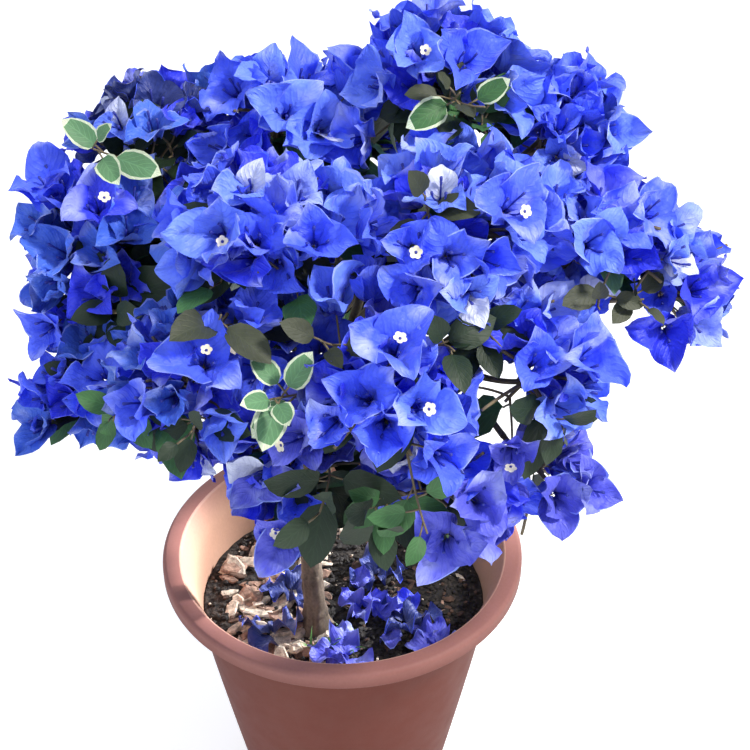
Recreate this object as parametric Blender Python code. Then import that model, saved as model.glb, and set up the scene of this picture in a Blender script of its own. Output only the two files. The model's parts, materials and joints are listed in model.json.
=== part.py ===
"""A bougainvillea bush in a round plastic pot.

Metres, +Z up. The origin is the centre of the pot's flat underside, and the bush is seen from the front
along +Y. One trunk stands in the potting mix, tapering boughs spread from it, and each bough carries one
mass of twigs, leaves and three-bract blossoms that keeps to a space of its own.
"""

import math
import random

import bmesh
import bpy
from mathutils import Matrix, Vector
from mathutils.bvhtree import BVHTree

GAP = 0.0003  # clearance between pieces that touch
UP = Vector((0, 0, 1))

# Pot: a moulded body that narrows in a slight curve, under a rolled lip
POT_HEIGHT = 0.255
POT_STEPS = 34
RIM_RADIUS = 0.142
LIP_WIDTH = 0.015
LIP_DEPTH = 0.013
LIP_ROUND = 0.004
BODY_RADIUS = 0.1255  # of the body's curve, where it meets the plane of the rim
BODY_TAPER = 0.16
BODY_CURVE = 0.08
BODY_RINGS = 4
WALL = 0.003
FOOT_BEVEL = 0.003
DRAIN_RADIUS = 0.0055
DRAIN_RING = 0.052
DRAIN_COUNT = 5

# Potting mix, with a few large chips of bark lying in its surface
SOIL_TOP = 0.203
CHIP_COUNT = 14
CHIP_SIZE = (0.026, 0.011, 0.006)
CHIP_RINGS = (0.038, 0.092)
CHIP_SEED = 7

# Trunk
TRUNK_FOOT = Vector((-0.0205, -0.0400, SOIL_TOP + GAP))
TRUNK_TOP = Vector((-0.0160, -0.0200, 0.362))
TRUNK_BOW = 0.006
TRUNK_RADIUS = (0.0085, 0.0064)
FLARE = 0.0050
FLARE_HEIGHT = 0.011
FOOT_LEVEL = 0.002  # corners of the trunk this close to its foot are laid level
TRUNK_SIDES = 10
TRUNK_RINGS = 8

# Boughs: radius at the foot of a bough on the trunk or on another bough, and at every tip
BOUGH_FOOT = {"trunk": 0.0046, "bough": 0.0034}
BOUGH_TIP = 0.0022
SLIMMER = 0.86  # the foot of a bough is at most this much of its parent's radius there
BOUGH_SIDES = 6
BOUGH_RINGS = 6
BOUGH_SPRING = 0.55  # how much of its parent's direction a bough leaves with
BOUGH_RISE = 0.25  # and how much it turns up
BOUGH_PULL = (0.40, 0.36)  # of its curve's two handles, as shares of its span
BOUGH_ARCH = 0.10  # how high its second handle is lifted, as a share of its span
ENTRIES = (0.62, 0.50, 0.40, 0.30)  # how far from a mass's middle its bough may end, as shares of its radius

# Crown: each mass by its bearing round the crown's axis, how far out and how high its centre is, its
# radius, its half height, and the limb that its bough grows from with the share of that limb's length
CROWN_AXIS = Vector((0.020, 0.020, 0))
CROWN_MIDDLE = 0.455
MASSES = {
    "front_left": (-131, 0.170, 0.490, 0.070, 0.060, "left_mid", 0.30),
    "front_centre": (-88, 0.160, 0.500, 0.078, 0.066, "trunk", 0.93),
    "front_low_left": (-112, 0.140, 0.415, 0.062, 0.066, "trunk", 0.66),
    "front_low_right": (-70, 0.143, 0.411, 0.066, 0.068, "trunk", 0.74),
    "front_inner": (-130, 0.112, 0.472, 0.062, 0.055, "trunk", 0.80),
    "left_under": (-145, 0.146, 0.424, 0.054, 0.044, "left_mid", 0.42),
    "left_low": (-164, 0.203, 0.440, 0.066, 0.050, "left_mid", 0.55),
    "left_mid": (181, 0.180, 0.510, 0.082, 0.072, "trunk", 0.84),
    "left_top": (157, 0.165, 0.566, 0.074, 0.056, "centre_left", 0.50),
    "centre_left": (-131, 0.100, 0.568, 0.080, 0.060, "trunk", 1.00),
    "centre_right": (-60, 0.095, 0.570, 0.080, 0.060, "top_mid", 0.34),
    "top_left": (128, 0.100, 0.573, 0.082, 0.054, "centre_left", 0.72),
    "top_mid": (46, 0.068, 0.618, 0.080, 0.062, "trunk", 0.96),
    "top_right": (20, 0.140, 0.580, 0.075, 0.054, "top_mid", 0.55),
    "right_inner": (-38, 0.113, 0.492, 0.062, 0.055, "right_mid", 0.30),
    "right_mid": (-12, 0.155, 0.538, 0.078, 0.060, "trunk", 0.88),
    "right_end": (-6, 0.209, 0.490, 0.066, 0.058, "right_mid", 0.66),
    "right_low": (-50, 0.158, 0.485, 0.066, 0.056, "right_mid", 0.40),
    "right_droop": (-42, 0.156, 0.395, 0.052, 0.062, "right_low", 0.45),
    "back_left": (146, 0.175, 0.478, 0.084, 0.074, "back_mid", 0.40),
    "back_mid": (92, 0.172, 0.510, 0.086, 0.072, "trunk", 0.90),
    "back_right": (36, 0.178, 0.472, 0.084, 0.074, "back_mid", 0.50),
    "back_low": (92, 0.130, 0.400, 0.078, 0.060, "trunk", 0.70),
}
OUTSIDE = 1.06  # how far corners of leaves and blossoms may reach, as a share of a mass's half sizes
SPACE_MARGIN = 0.0006  # each side of the plane between two masses
LIMB_MARGIN = 0.0010  # round a limb, kept free of twigs and leaves

# Twigs, leaves and blossoms inside a mass. A blossom is one cup of three pointed lobes, its bracts.
SEED = 100
SHOOTS = 7
TRIES = 250
INWARD = -0.35  # no shoot points further into the crown than this
REACH = (0.36, 0.84)  # how far out a shoot ends, as a share of the mass's half sizes
STEM_REACH = 0.10  # how far the stem goes past the mass's middle, out of the crown
STEM_FEET = (0.45, 0.95)  # where on the stem shoots grow
ARCH = (0.10, 0.12)  # how a shoot arches up, and along its stem, as shares of its length
BLOSSOM_LEAN = (0.3, 0.15)  # how much a blossom turns out of the crown, and up
STEM_RADIUS = (0.0021, 0.0017)
TWIG_RADIUS = (0.0014, 0.0018, 0.0012)  # at its foot, at the node where its leaf grows, and at its tip
GOLDEN_ANGLE = math.radians(137.508)
LEAF_LEANS = (0.5, 1.2, -0.3)  # how far ahead along its twig a leaf points, in the order tried
LEAF_FACE = (0.6, 0.5)  # how much it points, and faces, out of the crown
LEAF = {"length": 0.060, "width": 0.040, "lift": 0.004, "droop": 0.006, "thick": 0.0024}
BLADE_FACES = ((0, 2, 4), (2, 1, 4), (1, 3, 4), (3, 0, 4), (2, 0, 5), (1, 2, 5), (3, 1, 5), (0, 3, 5))
WIDEST = 0.45  # where along a leaf it is widest
SUNK = 0.0008  # how far past the middle of its twig a leaf's root starts
LOBE_LENGTH = 0.056
LOBE_TURN = (-0.25, 0.25)  # how far it may turn from its place, a third of the way round from the next
LOBE_TILTS = (64, 50, 78, 38)  # from the blossom's axis, in the order in which they are tried
LOBE_SCALES = (1.0, 0.80, 0.60)
SHOULDER = 0.57  # reach of a lobe's shoulders, as a share of its length
SHOULDER_SPREAD = math.radians(35)
SHOULDER_LIFT = 10  # and how far they fold up towards the axis, in degrees
CUP = (0.0014, 0.0022)  # how far the middle of the cup's inside and outside lie from its twig's tip

# Fallen blossoms on the potting mix: place, length of a bract, and turn in degrees
FALLEN = (
    (-0.057, -0.050, 0.020, 20),
    (-0.043, -0.003, 0.016, 60),
    (0.015, -0.022, 0.015, 140),
    (0.027, 0.015, 0.017, 100),
    (0.047, -0.040, 0.020, 250),
    (0.000, -0.077, 0.020, 75),
    (0.072, -0.067, 0.016, 190),
)
FALLEN_LIFT = 0.006  # of their middles

COLOURS = {
    "pot": ((0.36, 0.14, 0.10), 0.45),
    "potting_mix": ((0.05, 0.035, 0.027), 0.95),
    "bark": ((0.17, 0.13, 0.10), 0.85),
    "foliage": ((0.07, 0.11, 0.62), 0.60),
    "bracts": ((0.07, 0.11, 0.62), 0.60),
}


def clear_scene():
    for obj in list(bpy.data.objects):
        bpy.data.objects.remove(obj)


def material(name):
    """One Principled material for each finish, made the first time it is asked for."""
    if name in bpy.data.materials:
        return bpy.data.materials[name]
    colour, roughness = COLOURS[name]
    made = bpy.data.materials.new(name)
    made.use_nodes = True
    shader = made.node_tree.nodes["Principled BSDF"]
    shader.inputs["Base Color"].default_value = (*colour, 1)
    shader.inputs["Roughness"].default_value = roughness
    return made


def new_object(name, bm, finish, smooth_angle=None):
    """The bmesh as a linked object with outward normals."""
    bmesh.ops.recalc_face_normals(bm, faces=bm.faces)
    mesh = bpy.data.meshes.new(name)
    bm.to_mesh(mesh)
    bm.free()
    if smooth_angle is not None:
        mesh.shade_smooth()
        mesh.set_sharp_from_angle(angle=math.radians(smooth_angle))
    mesh.materials.append(material(finish))
    obj = bpy.data.objects.new(name, mesh)
    bpy.context.scene.collection.objects.link(obj)
    return obj


def apply_modifiers(obj):
    bpy.context.view_layer.update()
    graph = bpy.context.evaluated_depsgraph_get()
    mesh = bpy.data.meshes.new_from_object(obj.evaluated_get(graph))
    obj.modifiers.clear()
    obj.data = mesh


def cut(obj, cutter):
    """Takes cutter away from obj and removes it."""
    boolean = obj.modifiers.new("cut", "BOOLEAN")
    boolean.operation = "DIFFERENCE"
    boolean.object = cutter
    apply_modifiers(obj)
    bpy.data.objects.remove(cutter)


def fuse(obj, others):
    """Joins the others to obj by one union on a collection, then removes them with their collection."""
    group = bpy.data.collections.new("fusing")
    bpy.context.scene.collection.children.link(group)
    for other in others:
        for home in list(other.users_collection):
            home.objects.unlink(other)
        group.objects.link(other)
    boolean = obj.modifiers.new("fuse", "BOOLEAN")
    boolean.operation = "UNION"
    boolean.operand_type = "COLLECTION"
    boolean.collection = group
    boolean.solver = "MANIFOLD"
    apply_modifiers(obj)
    for other in others:
        bpy.data.objects.remove(other)
    bpy.data.collections.remove(group)
    keep_outer_shell(obj)


def keep_outer_shell(obj):
    """Drops loose scraps and the walls of sealed hollows, which fills them, by keeping the widest shell."""
    bm = bmesh.new()
    bm.from_mesh(obj.data)
    unseen = set(bm.faces)
    shells = []
    while unseen:
        front = {unseen.pop()}
        shell = set(front)
        while front:
            front = {f for face in front for e in face.edges for f in e.link_faces} & unseen
            unseen -= front
            shell |= front
        shells.append(shell)
    shells.sort(key=shell_span)
    for shell in shells[:-1]:
        bmesh.ops.delete(bm, geom=list(shell), context="FACES")
    bmesh.ops.triangulate(bm, faces=bm.faces)
    bm.to_mesh(obj.data)
    bm.free()


def shell_span(faces):
    points = [v.co for face in faces for v in face.verts]
    return sum(max(p[i] for p in points) - min(p[i] for p in points) for i in range(3))


# ---- Pot and potting mix


def body_radius(depth):
    """Outside radius of the pot's body, this far below the rim."""
    return BODY_RADIUS - BODY_TAPER * depth - BODY_CURVE * depth * depth


def turned(name, profile, finish):
    """A closed solid of revolution about Z from (radius, height) points that start and end on the axis."""
    bm = bmesh.new()
    points = [bm.verts.new((r, 0, z)) for r, z in profile]
    edges = [bm.edges.new(pair) for pair in zip(points, points[1:])]
    bmesh.ops.spin(
        bm,
        geom=points + edges,
        cent=(0, 0, 0),
        axis=(0, 0, 1),
        angle=math.tau,
        steps=POT_STEPS,
        use_merge=True,
    )
    bmesh.ops.remove_doubles(bm, verts=bm.verts, dist=1e-6)
    return new_object(name, bm, finish, smooth_angle=35)


def lip_profile():
    """The rolled lip in section, from its underside outwards, over its top and in to the inner edge."""
    outer, inner = RIM_RADIUS, RIM_RADIUS - LIP_WIDTH
    middle = (outer + inner) / 2
    return [
        (body_radius(LIP_DEPTH), POT_HEIGHT - LIP_DEPTH),
        (outer - LIP_ROUND / 2, POT_HEIGHT - LIP_DEPTH),
        (outer, POT_HEIGHT - LIP_DEPTH + LIP_ROUND / 2),
        (outer, POT_HEIGHT - LIP_ROUND),
        (outer - LIP_ROUND / 2, POT_HEIGHT - LIP_ROUND / 3),
        (middle, POT_HEIGHT),
        (inner + LIP_ROUND / 2, POT_HEIGHT - LIP_ROUND / 3),
        (inner, POT_HEIGHT - LIP_ROUND),
    ]


def make_pot():
    depths = [LIP_DEPTH + (POT_HEIGHT - LIP_DEPTH) * i / BODY_RINGS for i in range(1, BODY_RINGS + 1)]
    foot = body_radius(POT_HEIGHT)
    outside = [(body_radius(d), POT_HEIGHT - d) for d in depths[:-1]]
    inside = [(body_radius(d) - WALL, POT_HEIGHT - d) for d in depths[:-1]]
    floor = body_radius(POT_HEIGHT - WALL) - WALL
    profile = [(0, 0), (foot - FOOT_BEVEL, 0), (foot, FOOT_BEVEL)]
    profile += outside[::-1] + lip_profile() + inside + [(floor, WALL), (0, WALL)]
    pot = turned("pot", profile, "pot")
    for i in range(DRAIN_COUNT):
        turn = math.tau * i / DRAIN_COUNT
        bpy.ops.mesh.primitive_cylinder_add(
            vertices=10,
            radius=DRAIN_RADIUS,
            depth=6 * WALL,
            location=(DRAIN_RING * math.cos(turn), DRAIN_RING * math.sin(turn), 0),
        )
        cut(pot, bpy.context.active_object)


def make_potting_mix():
    """Fills the pot from its floor to the level of the mix, with bark chips fused into the surface."""
    bottom = WALL + GAP
    heights = [bottom, POT_HEIGHT / 4, POT_HEIGHT / 2, SOIL_TOP]
    profile = [(0, bottom)]
    profile += [(body_radius(POT_HEIGHT - z) - WALL - 2 * GAP, z) for z in heights]
    profile += [(0, SOIL_TOP)]
    mix = turned("potting_mix", profile, "potting_mix")
    rng = random.Random(CHIP_SEED)
    chips = []
    for i in range(CHIP_COUNT):
        turn = i * GOLDEN_ANGLE
        out = CHIP_RINGS[0] + (CHIP_RINGS[1] - CHIP_RINGS[0]) * math.sqrt((i + 0.5) / CHIP_COUNT)
        place = Vector((out * math.cos(turn), out * math.sin(turn), SOIL_TOP))
        if any((place.xy - Vector((x, y))).length < length + CHIP_SIZE[0] for x, y, length, _ in FALLEN):
            continue
        if (place.xy - TRUNK_FOOT.xy).length < TRUNK_RADIUS[0] + FLARE + CHIP_SIZE[0]:
            continue
        size = [s * rng.uniform(0.7, 1.2) for s in CHIP_SIZE]
        bpy.ops.mesh.primitive_cube_add(size=1, location=place)
        chip = bpy.context.active_object
        tip = (rng.uniform(-0.3, 0.3), rng.uniform(-0.2, 0.2), rng.uniform(0, math.pi))
        chip.data.transform(Matrix.Diagonal((*size, 1)))
        chip.rotation_euler = tip
        chips.append(chip)
    bpy.context.view_layer.update()
    fuse(mix, chips)


# ---- Limbs


def frames_along(path):
    """A matrix at each point of the path, with Z along it and no twist."""
    made = []
    across = None
    for i, point in enumerate(path):
        ahead = (path[min(i + 1, len(path) - 1)] - path[max(i - 1, 0)]).normalized()
        if across is None:
            across = ahead.orthogonal().normalized()
        across = (across - ahead * across.dot(ahead)).normalized()
        side = ahead.cross(across)
        made.append(Matrix((across, side, ahead)).transposed().to_4x4())
        made[-1].translation = point
    return made


def add_tube(bm, path, radii, sides):
    """A tapering tube with flat ends."""
    rings = []
    for frame, radius in zip(frames_along(path), radii):
        ring = []
        for k in range(sides):
            turn = math.tau * k / sides
            ring.append(bm.verts.new(frame @ Vector((radius * math.cos(turn), radius * math.sin(turn), 0))))
        rings.append(ring)
    for low, high in zip(rings, rings[1:]):
        for k in range(sides):
            n = (k + 1) % sides
            bm.faces.new((low[k], low[n], high[n], high[k]))
    bm.faces.new(rings[0][::-1])
    bm.faces.new(rings[-1])


def swollen(limb, by):
    """The limb's path and radii, grown by this much all round and at both ends."""
    path = list(limb["path"])
    path[0] = path[0] - (path[1] - path[0]).normalized() * by
    path[-1] = path[-1] + (path[-1] - path[-2]).normalized() * by
    return path, [r + by for r in limb["radii"]]


def along(limb, share):
    """The point at this share of the limb's length, and the limb's direction and radius there."""
    path = limb["path"]
    place = min(share * (len(path) - 1), len(path) - 1 - 1e-6)
    i = int(place)
    ahead = (path[i + 1] - path[i]).normalized()
    radius = limb["radii"][i] + (limb["radii"][i + 1] - limb["radii"][i]) * (place - i)
    return path[i].lerp(path[i + 1], place - i), ahead, radius


def bezier(a, b, c, d, steps):
    points = []
    for i in range(steps + 1):
        t = i / steps
        s = 1 - t
        points.append(a * s**3 + b * (3 * s * s * t) + c * (3 * s * t * t) + d * t**3)
    return points


def make_trunk():
    """Tapered, leaning and slightly bowed, with a flare where it meets the potting mix."""
    path, radii = [], []
    for i in range(TRUNK_RINGS + 1):
        t = (i / TRUNK_RINGS) ** 1.4
        bow = Vector((-TRUNK_BOW, 0, 0)) * math.sin(math.pi * t)
        point = TRUNK_FOOT.lerp(TRUNK_TOP, t) + bow
        height = point.z - SOIL_TOP
        path.append(point)
        radii.append(
            TRUNK_RADIUS[0]
            + (TRUNK_RADIUS[1] - TRUNK_RADIUS[0]) * t
            + FLARE * math.exp(-height / FLARE_HEIGHT)
        )
    limb = {"path": path, "radii": radii, "sides": TRUNK_SIDES}
    bm = bmesh.new()
    add_tube(bm, path, radii, TRUNK_SIDES)
    for v in bm.verts:
        if v.co.z < TRUNK_FOOT.z + FOOT_LEVEL:
            v.co.z = TRUNK_FOOT.z
    new_object("trunk", bm, "bark", smooth_angle=50)
    return limb


def bough_path(parent, share, mass):
    """Leaves the parent limb partly along it, and arrives at the mass heading for its middle."""
    start, ahead, _ = along(parent, share)
    way = (start - mass["centre"]).normalized() * mass["size"]
    entries = [mass["centre"] + way * part for part in ENTRIES]
    entry = next(e for e in entries if in_space(mass, [e], BOUGH_TIP))
    span = (entry - start).length
    leave = (ahead * BOUGH_SPRING + (entry - start).normalized() + UP * BOUGH_RISE).normalized()
    arrive = (mass["centre"] - entry).normalized()
    first = start + leave * span * BOUGH_PULL[0]
    second = entry - arrive * span * BOUGH_PULL[1] + UP * span * BOUGH_ARCH
    return bezier(start, first, second, entry, BOUGH_RINGS)


def make_bough(mass, limbs):
    """One tapering limb, its foot cut to lie against its parent and any limb that starts beside it."""
    parent = limbs[mass["parent"]]
    path = bough_path(parent, mass["share"], mass)
    kind = "trunk" if mass["parent"] == "trunk" else "bough"
    foot = min(BOUGH_FOOT[kind], along(parent, mass["share"])[2] * SLIMMER)
    radii = [foot + (BOUGH_TIP - foot) * i / BOUGH_RINGS for i in range(BOUGH_RINGS + 1)]
    limb = {"path": path, "radii": radii, "sides": BOUGH_SIDES}
    bm = bmesh.new()
    add_tube(bm, path, radii, BOUGH_SIDES)
    own_tree = BVHTree.FromBMesh(bm)
    bough = new_object("bough_" + mass["name"], bm, "bark", smooth_angle=60)
    for other in limbs.values():
        bm = bmesh.new()
        add_tube(bm, *swollen(other, GAP), other["sides"])
        if BVHTree.FromBMesh(bm).overlap(own_tree):
            cut(bough, new_object("neighbour", bm, "bark"))
            keep_outer_shell(bough)
        else:
            bm.free()
    return limb


# ---- Masses of foliage


def lay_out_masses():
    """Each mass with its middle, half sizes and the planes that part its space from the others."""
    masses = {}
    middle = Vector((CROWN_AXIS.x, CROWN_AXIS.y, CROWN_MIDDLE))
    for i, (name, row) in enumerate(MASSES.items()):
        bearing, out, height, radius, half_height, parent, share = row
        turn = math.radians(bearing)
        centre = CROWN_AXIS + Vector((out * math.cos(turn), out * math.sin(turn), height))
        masses[name] = {
            "name": name,
            "centre": centre,
            "half": Vector((radius, radius, half_height)),
            "size": radius,
            "outward": (centre - middle).normalized(),
            "parent": parent,
            "share": share,
            "seed": SEED + i,
        }
    for mass in masses.values():
        mass["planes"] = [plane_between(mass, m) for m in masses.values() if m is not mass]
    return masses


def half_size_along(mass, direction):
    return math.sqrt(sum((mass["half"][i] * direction[i]) ** 2 for i in range(3)))


def plane_between(mass, other):
    """Point and normal of the plane that parts two masses, nearer to the smaller one."""
    across = other["centre"] - mass["centre"]
    normal = across.normalized()
    mine, theirs = half_size_along(mass, normal), half_size_along(other, normal)
    return mass["centre"] + across * (mine / (mine + theirs)) - normal * SPACE_MARGIN, normal


def in_space(mass, points, margin=0.0):
    """True if all these points are in the mass's own space, this far inside it."""
    for p in points:
        d = p - mass["centre"]
        if sum((d[i] / mass["half"][i]) ** 2 for i in range(3)) > OUTSIDE**2:
            return False
        if any((p - point).dot(normal) > -margin for point, normal in mass["planes"]):
            return False
    return True


def blade_points(root, ahead, face, scale):
    """The six corners of a folded leaf: root, tip, its two sides, and its upper and lower middle."""
    ahead = ahead.normalized()
    face = (face - ahead * face.dot(ahead)).normalized()
    side = ahead.cross(face)
    length, half, thick = LEAF["length"] * scale, LEAF["width"] * scale / 2, LEAF["thick"] / 2
    wide = root + ahead * length * WIDEST
    lift = face * LEAF["lift"] * scale
    return [
        root - ahead * SUNK,
        root + ahead * length - face * LEAF["droop"] * scale,
        wide + side * half + lift,
        wide - side * half + lift,
        wide + face * thick,
        wide - face * thick,
    ]


def add_piece(growth, points, faces):
    """A closed solid from its corners and triangles, kept for overlap tests too."""
    bm = bmesh.new()
    verts = [bm.verts.new(p) for p in points]
    for face in faces:
        bm.faces.new([verts[i] for i in face])
    growth["pieces"].append(new_object("piece", bm, "foliage"))
    first = len(growth["corners"])
    growth["corners"] += points
    growth["faces"] += [[first + i for i in face] for face in faces]


def add_twig(growth, path, radii, sides=3):
    bm = bmesh.new()
    add_tube(bm, path, radii, sides)
    growth["pieces"].append(new_object("twig", bm, "foliage"))


def fits(growth, points, faces, others):
    """True if these triangles keep to the mass's space, and clear of the limbs and of what grew before."""
    if not in_space(growth["mass"], points):
        return False
    piece = BVHTree.FromPolygons(points, faces)
    return not growth["limbs"].overlap(piece) and not others.overlap(piece)


def grown_tree(growth):
    return BVHTree.FromPolygons(growth["corners"], growth["faces"])


def add_blossom(growth, centre, axis, rng):
    """A cup of three lobes, each tried at a few tilts and lengths. False if one of them never fits."""
    turn = rng.uniform(0, math.tau)
    across = axis.orthogonal().normalized()
    others = grown_tree(growth)
    rim = []
    for i in range(3):
        spin = turn + math.tau * i / 3 + rng.uniform(*LOBE_TURN)
        length = LOBE_LENGTH * rng.uniform(0.90, 1.08)
        for tilt, scale in [(tilt, scale) for scale in LOBE_SCALES for tilt in LOBE_TILTS]:
            fold, wide = tilt - SHOULDER_LIFT, length * scale * SHOULDER
            corners = [
                lobe_point(centre, axis, across, spin - SHOULDER_SPREAD, fold, wide),
                lobe_point(centre, axis, across, spin, tilt, length * scale),
                lobe_point(centre, axis, across, spin + SHOULDER_SPREAD, fold, wide),
            ]
            if fits(growth, [centre] + corners, ((0, 1, 2), (0, 2, 3)), others):
                rim += corners
                break
    n = len(rim)
    points = rim + [centre + axis * CUP[0], centre - axis * CUP[1]]
    faces = [(i, (i + 1) % n, n) for i in range(n)] + [((i + 1) % n, i, n + 1) for i in range(n)]
    if n < 9 or not fits(growth, points, faces, others):
        return False
    add_piece(growth, points, faces)
    return True


def lobe_point(centre, axis, across, spin, tilt, reach):
    """A point this far from the middle of a blossom, turned by spin about its axis and tilted from it."""
    radial = Matrix.Rotation(spin, 3, axis) @ across
    lean = math.radians(tilt)
    return centre + (axis * math.cos(lean) + radial * math.sin(lean)) * reach


def add_leaf(growth, place, ahead, rng):
    """A leaf beside a twig, tried at a few leans until it fits."""
    side = ahead.cross(UP).normalized() * rng.choice((-1, 1))
    outward = growth["mass"]["outward"]
    others = grown_tree(growth)
    ahead = ahead.normalized()
    for lean in LEAF_LEANS:
        out = side + outward * LEAF_FACE[0] + ahead * lean
        points = blade_points(place, out, UP + outward * LEAF_FACE[1], rng.uniform(0.8, 1.1))
        if fits(growth, points, BLADE_FACES, others):
            add_piece(growth, points, BLADE_FACES)
            return


def shoot_aim(mass, rng):
    """A random direction that doesn't point far into the crown."""
    while True:
        aim = Vector([rng.gauss(0, 1) for _ in range(3)]).normalized()
        if aim.dot(mass["outward"]) > INWARD:
            return aim


def shoot_path(mass, stem, aim, rng):
    """From a place on the stem, arching a little, to a point short of the mass's outside."""
    reach = rng.uniform(*REACH)
    end = mass["centre"] + Vector([aim[i] * mass["half"][i] * reach for i in range(3)])
    foot, run, _ = along(stem, rng.uniform(*STEM_FEET))
    knee = foot.lerp(end, 0.5) + (UP * ARCH[0] + run * ARCH[1]) * (end - foot).length
    return [foot, knee, end]


def grow_mass(mass, bough, limbs):
    """A stem that goes on from the bough, with shoots that arch from it to the outside of the mass."""
    growth = {"mass": mass, "limbs": limbs, "pieces": [], "corners": [], "faces": []}
    ahead = along(bough, 1)[1]
    start = bough["path"][-1] + ahead * GAP
    middle = mass["centre"] + mass["outward"] * STEM_REACH * mass["size"]
    knee = start + ahead * (middle - start).length / 2
    stem = {"path": [start, knee, middle], "radii": [STEM_RADIUS[0], STEM_RADIUS[0], STEM_RADIUS[1]]}
    add_twig(growth, stem["path"], stem["radii"], sides=4)
    rng = random.Random(mass["seed"])
    grown = 0
    for _ in range(TRIES):
        aim = shoot_aim(mass, rng)
        path = shoot_path(mass, stem, aim, rng)
        if not in_space(mass, path[1:], TWIG_RADIUS[1]) or twig_hits(path, growth):
            continue
        axis = (aim + mass["outward"] * BLOSSOM_LEAN[0] + UP * BLOSSOM_LEAN[1]).normalized()
        if add_blossom(growth, path[-1], axis, rng):
            add_twig(growth, path, TWIG_RADIUS)
            add_leaf(growth, path[1], path[2] - path[1], rng)
            grown += 1
        if grown == SHOOTS:
            break
    whole = growth["pieces"].pop(0)
    whole.name = "mass_" + mass["name"]
    fuse(whole, growth["pieces"])


def twig_hits(path, growth):
    """True if a twig on this path would touch a limb, a leaf or a blossom."""
    bm = bmesh.new()
    add_tube(bm, path, TWIG_RADIUS, 3)
    twig = BVHTree.FromBMesh(bm)
    bm.free()
    return bool(growth["limbs"].overlap(twig) or grown_tree(growth).overlap(twig))


def limb_tree(limbs):
    """All limbs, grown by the margin that foliage keeps from them, for overlap tests."""
    bm = bmesh.new()
    for limb in limbs:
        add_tube(bm, *swollen(limb, LIMB_MARGIN), limb["sides"])
    tree = BVHTree.FromBMesh(bm)
    bm.free()
    return tree


def make_fallen(index, x, y, length, turn):
    """A dropped blossom that lies on the potting mix, its bracts half folded."""
    growth = {"pieces": [], "corners": [], "faces": []}
    rng = random.Random(index)
    centre = Vector((x, y, SOIL_TOP + FALLEN_LIFT))
    for i in range(3):
        spin = math.radians(turn + 120 * i) + rng.uniform(*LOBE_TURN)
        ahead = Vector((math.cos(spin), math.sin(spin), rng.uniform(0.0, 0.35)))
        add_piece(growth, blade_points(centre, ahead, UP, length / LEAF["length"]), BLADE_FACES)
    whole = growth["pieces"].pop(0)
    whole.name = f"fallen_bracts_{index}"
    fuse(whole, growth["pieces"])
    whole.data.materials[0] = material("bracts")
    lowest = min(v.co.z for v in whole.data.vertices)
    whole.location.z = SOIL_TOP + GAP - lowest


def main():
    clear_scene()
    make_pot()
    make_potting_mix()
    masses = lay_out_masses()
    limbs = {"trunk": make_trunk()}
    waiting = list(masses.values())
    while waiting:
        mass = waiting.pop(0)
        if mass["parent"] not in limbs:
            waiting.append(mass)
            continue
        limbs[mass["name"]] = make_bough(mass, limbs)
    tree = limb_tree(limbs.values())
    for mass in masses.values():
        grow_mass(mass, limbs[mass["name"]], tree)
    for index, row in enumerate(FALLEN, start=1):
        make_fallen(index, *row)


main()
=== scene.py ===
import json
import math
import random

import bmesh
import bpy
import numpy as np
from mathutils import Matrix, Vector, noise
from mathutils.bvhtree import BVHTree

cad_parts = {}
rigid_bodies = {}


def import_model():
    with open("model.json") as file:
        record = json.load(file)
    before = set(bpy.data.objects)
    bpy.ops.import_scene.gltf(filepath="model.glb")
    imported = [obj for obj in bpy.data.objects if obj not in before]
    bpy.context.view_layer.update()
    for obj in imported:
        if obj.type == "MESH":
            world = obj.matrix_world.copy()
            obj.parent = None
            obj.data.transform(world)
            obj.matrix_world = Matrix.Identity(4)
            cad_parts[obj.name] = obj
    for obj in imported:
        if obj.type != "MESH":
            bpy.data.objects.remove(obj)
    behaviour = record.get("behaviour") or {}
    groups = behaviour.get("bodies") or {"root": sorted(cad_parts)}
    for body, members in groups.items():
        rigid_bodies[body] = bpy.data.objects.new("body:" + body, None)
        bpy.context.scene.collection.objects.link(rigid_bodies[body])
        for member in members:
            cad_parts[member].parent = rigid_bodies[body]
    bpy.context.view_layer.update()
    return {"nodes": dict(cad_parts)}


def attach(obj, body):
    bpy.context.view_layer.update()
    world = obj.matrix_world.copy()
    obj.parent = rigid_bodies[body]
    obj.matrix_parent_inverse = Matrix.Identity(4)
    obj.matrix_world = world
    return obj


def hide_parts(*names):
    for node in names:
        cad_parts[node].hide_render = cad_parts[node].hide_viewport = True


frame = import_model()
up = Vector((0, 0, 1))
print("frame loaded:", len(frame["nodes"]), "nodes")


camera = {
    "place": (0, -0.8613, 1.0170),
    "below": 34.82,  # degrees under the horizon
    "right": 1.71,  # degrees to the right of straight ahead
    "lens": 69.12,
    "sensor": 36,
    "near": 0.05,
}
studio = {
    "sky": (0.90, 0.95, 1.06),
    "skyStrength": 0.71,
    "floor": (0.94, 0.94, 0.94),
    "floorGlow": 0.14,
    "floorSeen": 0.40,  # and its glow where the camera looks at it
    "floorRoughness": 0.9,
    "floorSize": 12,
    "aim": (0, 0, 0.40),
    "lamps": {  # place, size, watts, colour
        "key": ((1.25, -0.55, 2.0), 0.35, 42, (1.0, 0.96, 0.88)),
        "fill": ((-1.8, -1.6, 1.3), 1.8, 8, (0.86, 0.93, 1.0)),
        "back": ((-0.6, 2.0, 1.9), 1.2, 12, (1.0, 1.0, 1.0)),
    },
    "beams": {  # low beams that slip in under the crown to the mix and to the lip: place, aim, angle, watts
        "mixBeam": ((1.10, 0.54, 0.92), (-0.085, -0.030, 0.207), 9.0, 190),
        "lipBeam": ((1.20, 0.25, 0.67), (-0.142, -0.025, 0.275), 6.4, 138),
    },
    "beamBlend": 0.45,
    "beamSize": 0.02,
}


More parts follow.
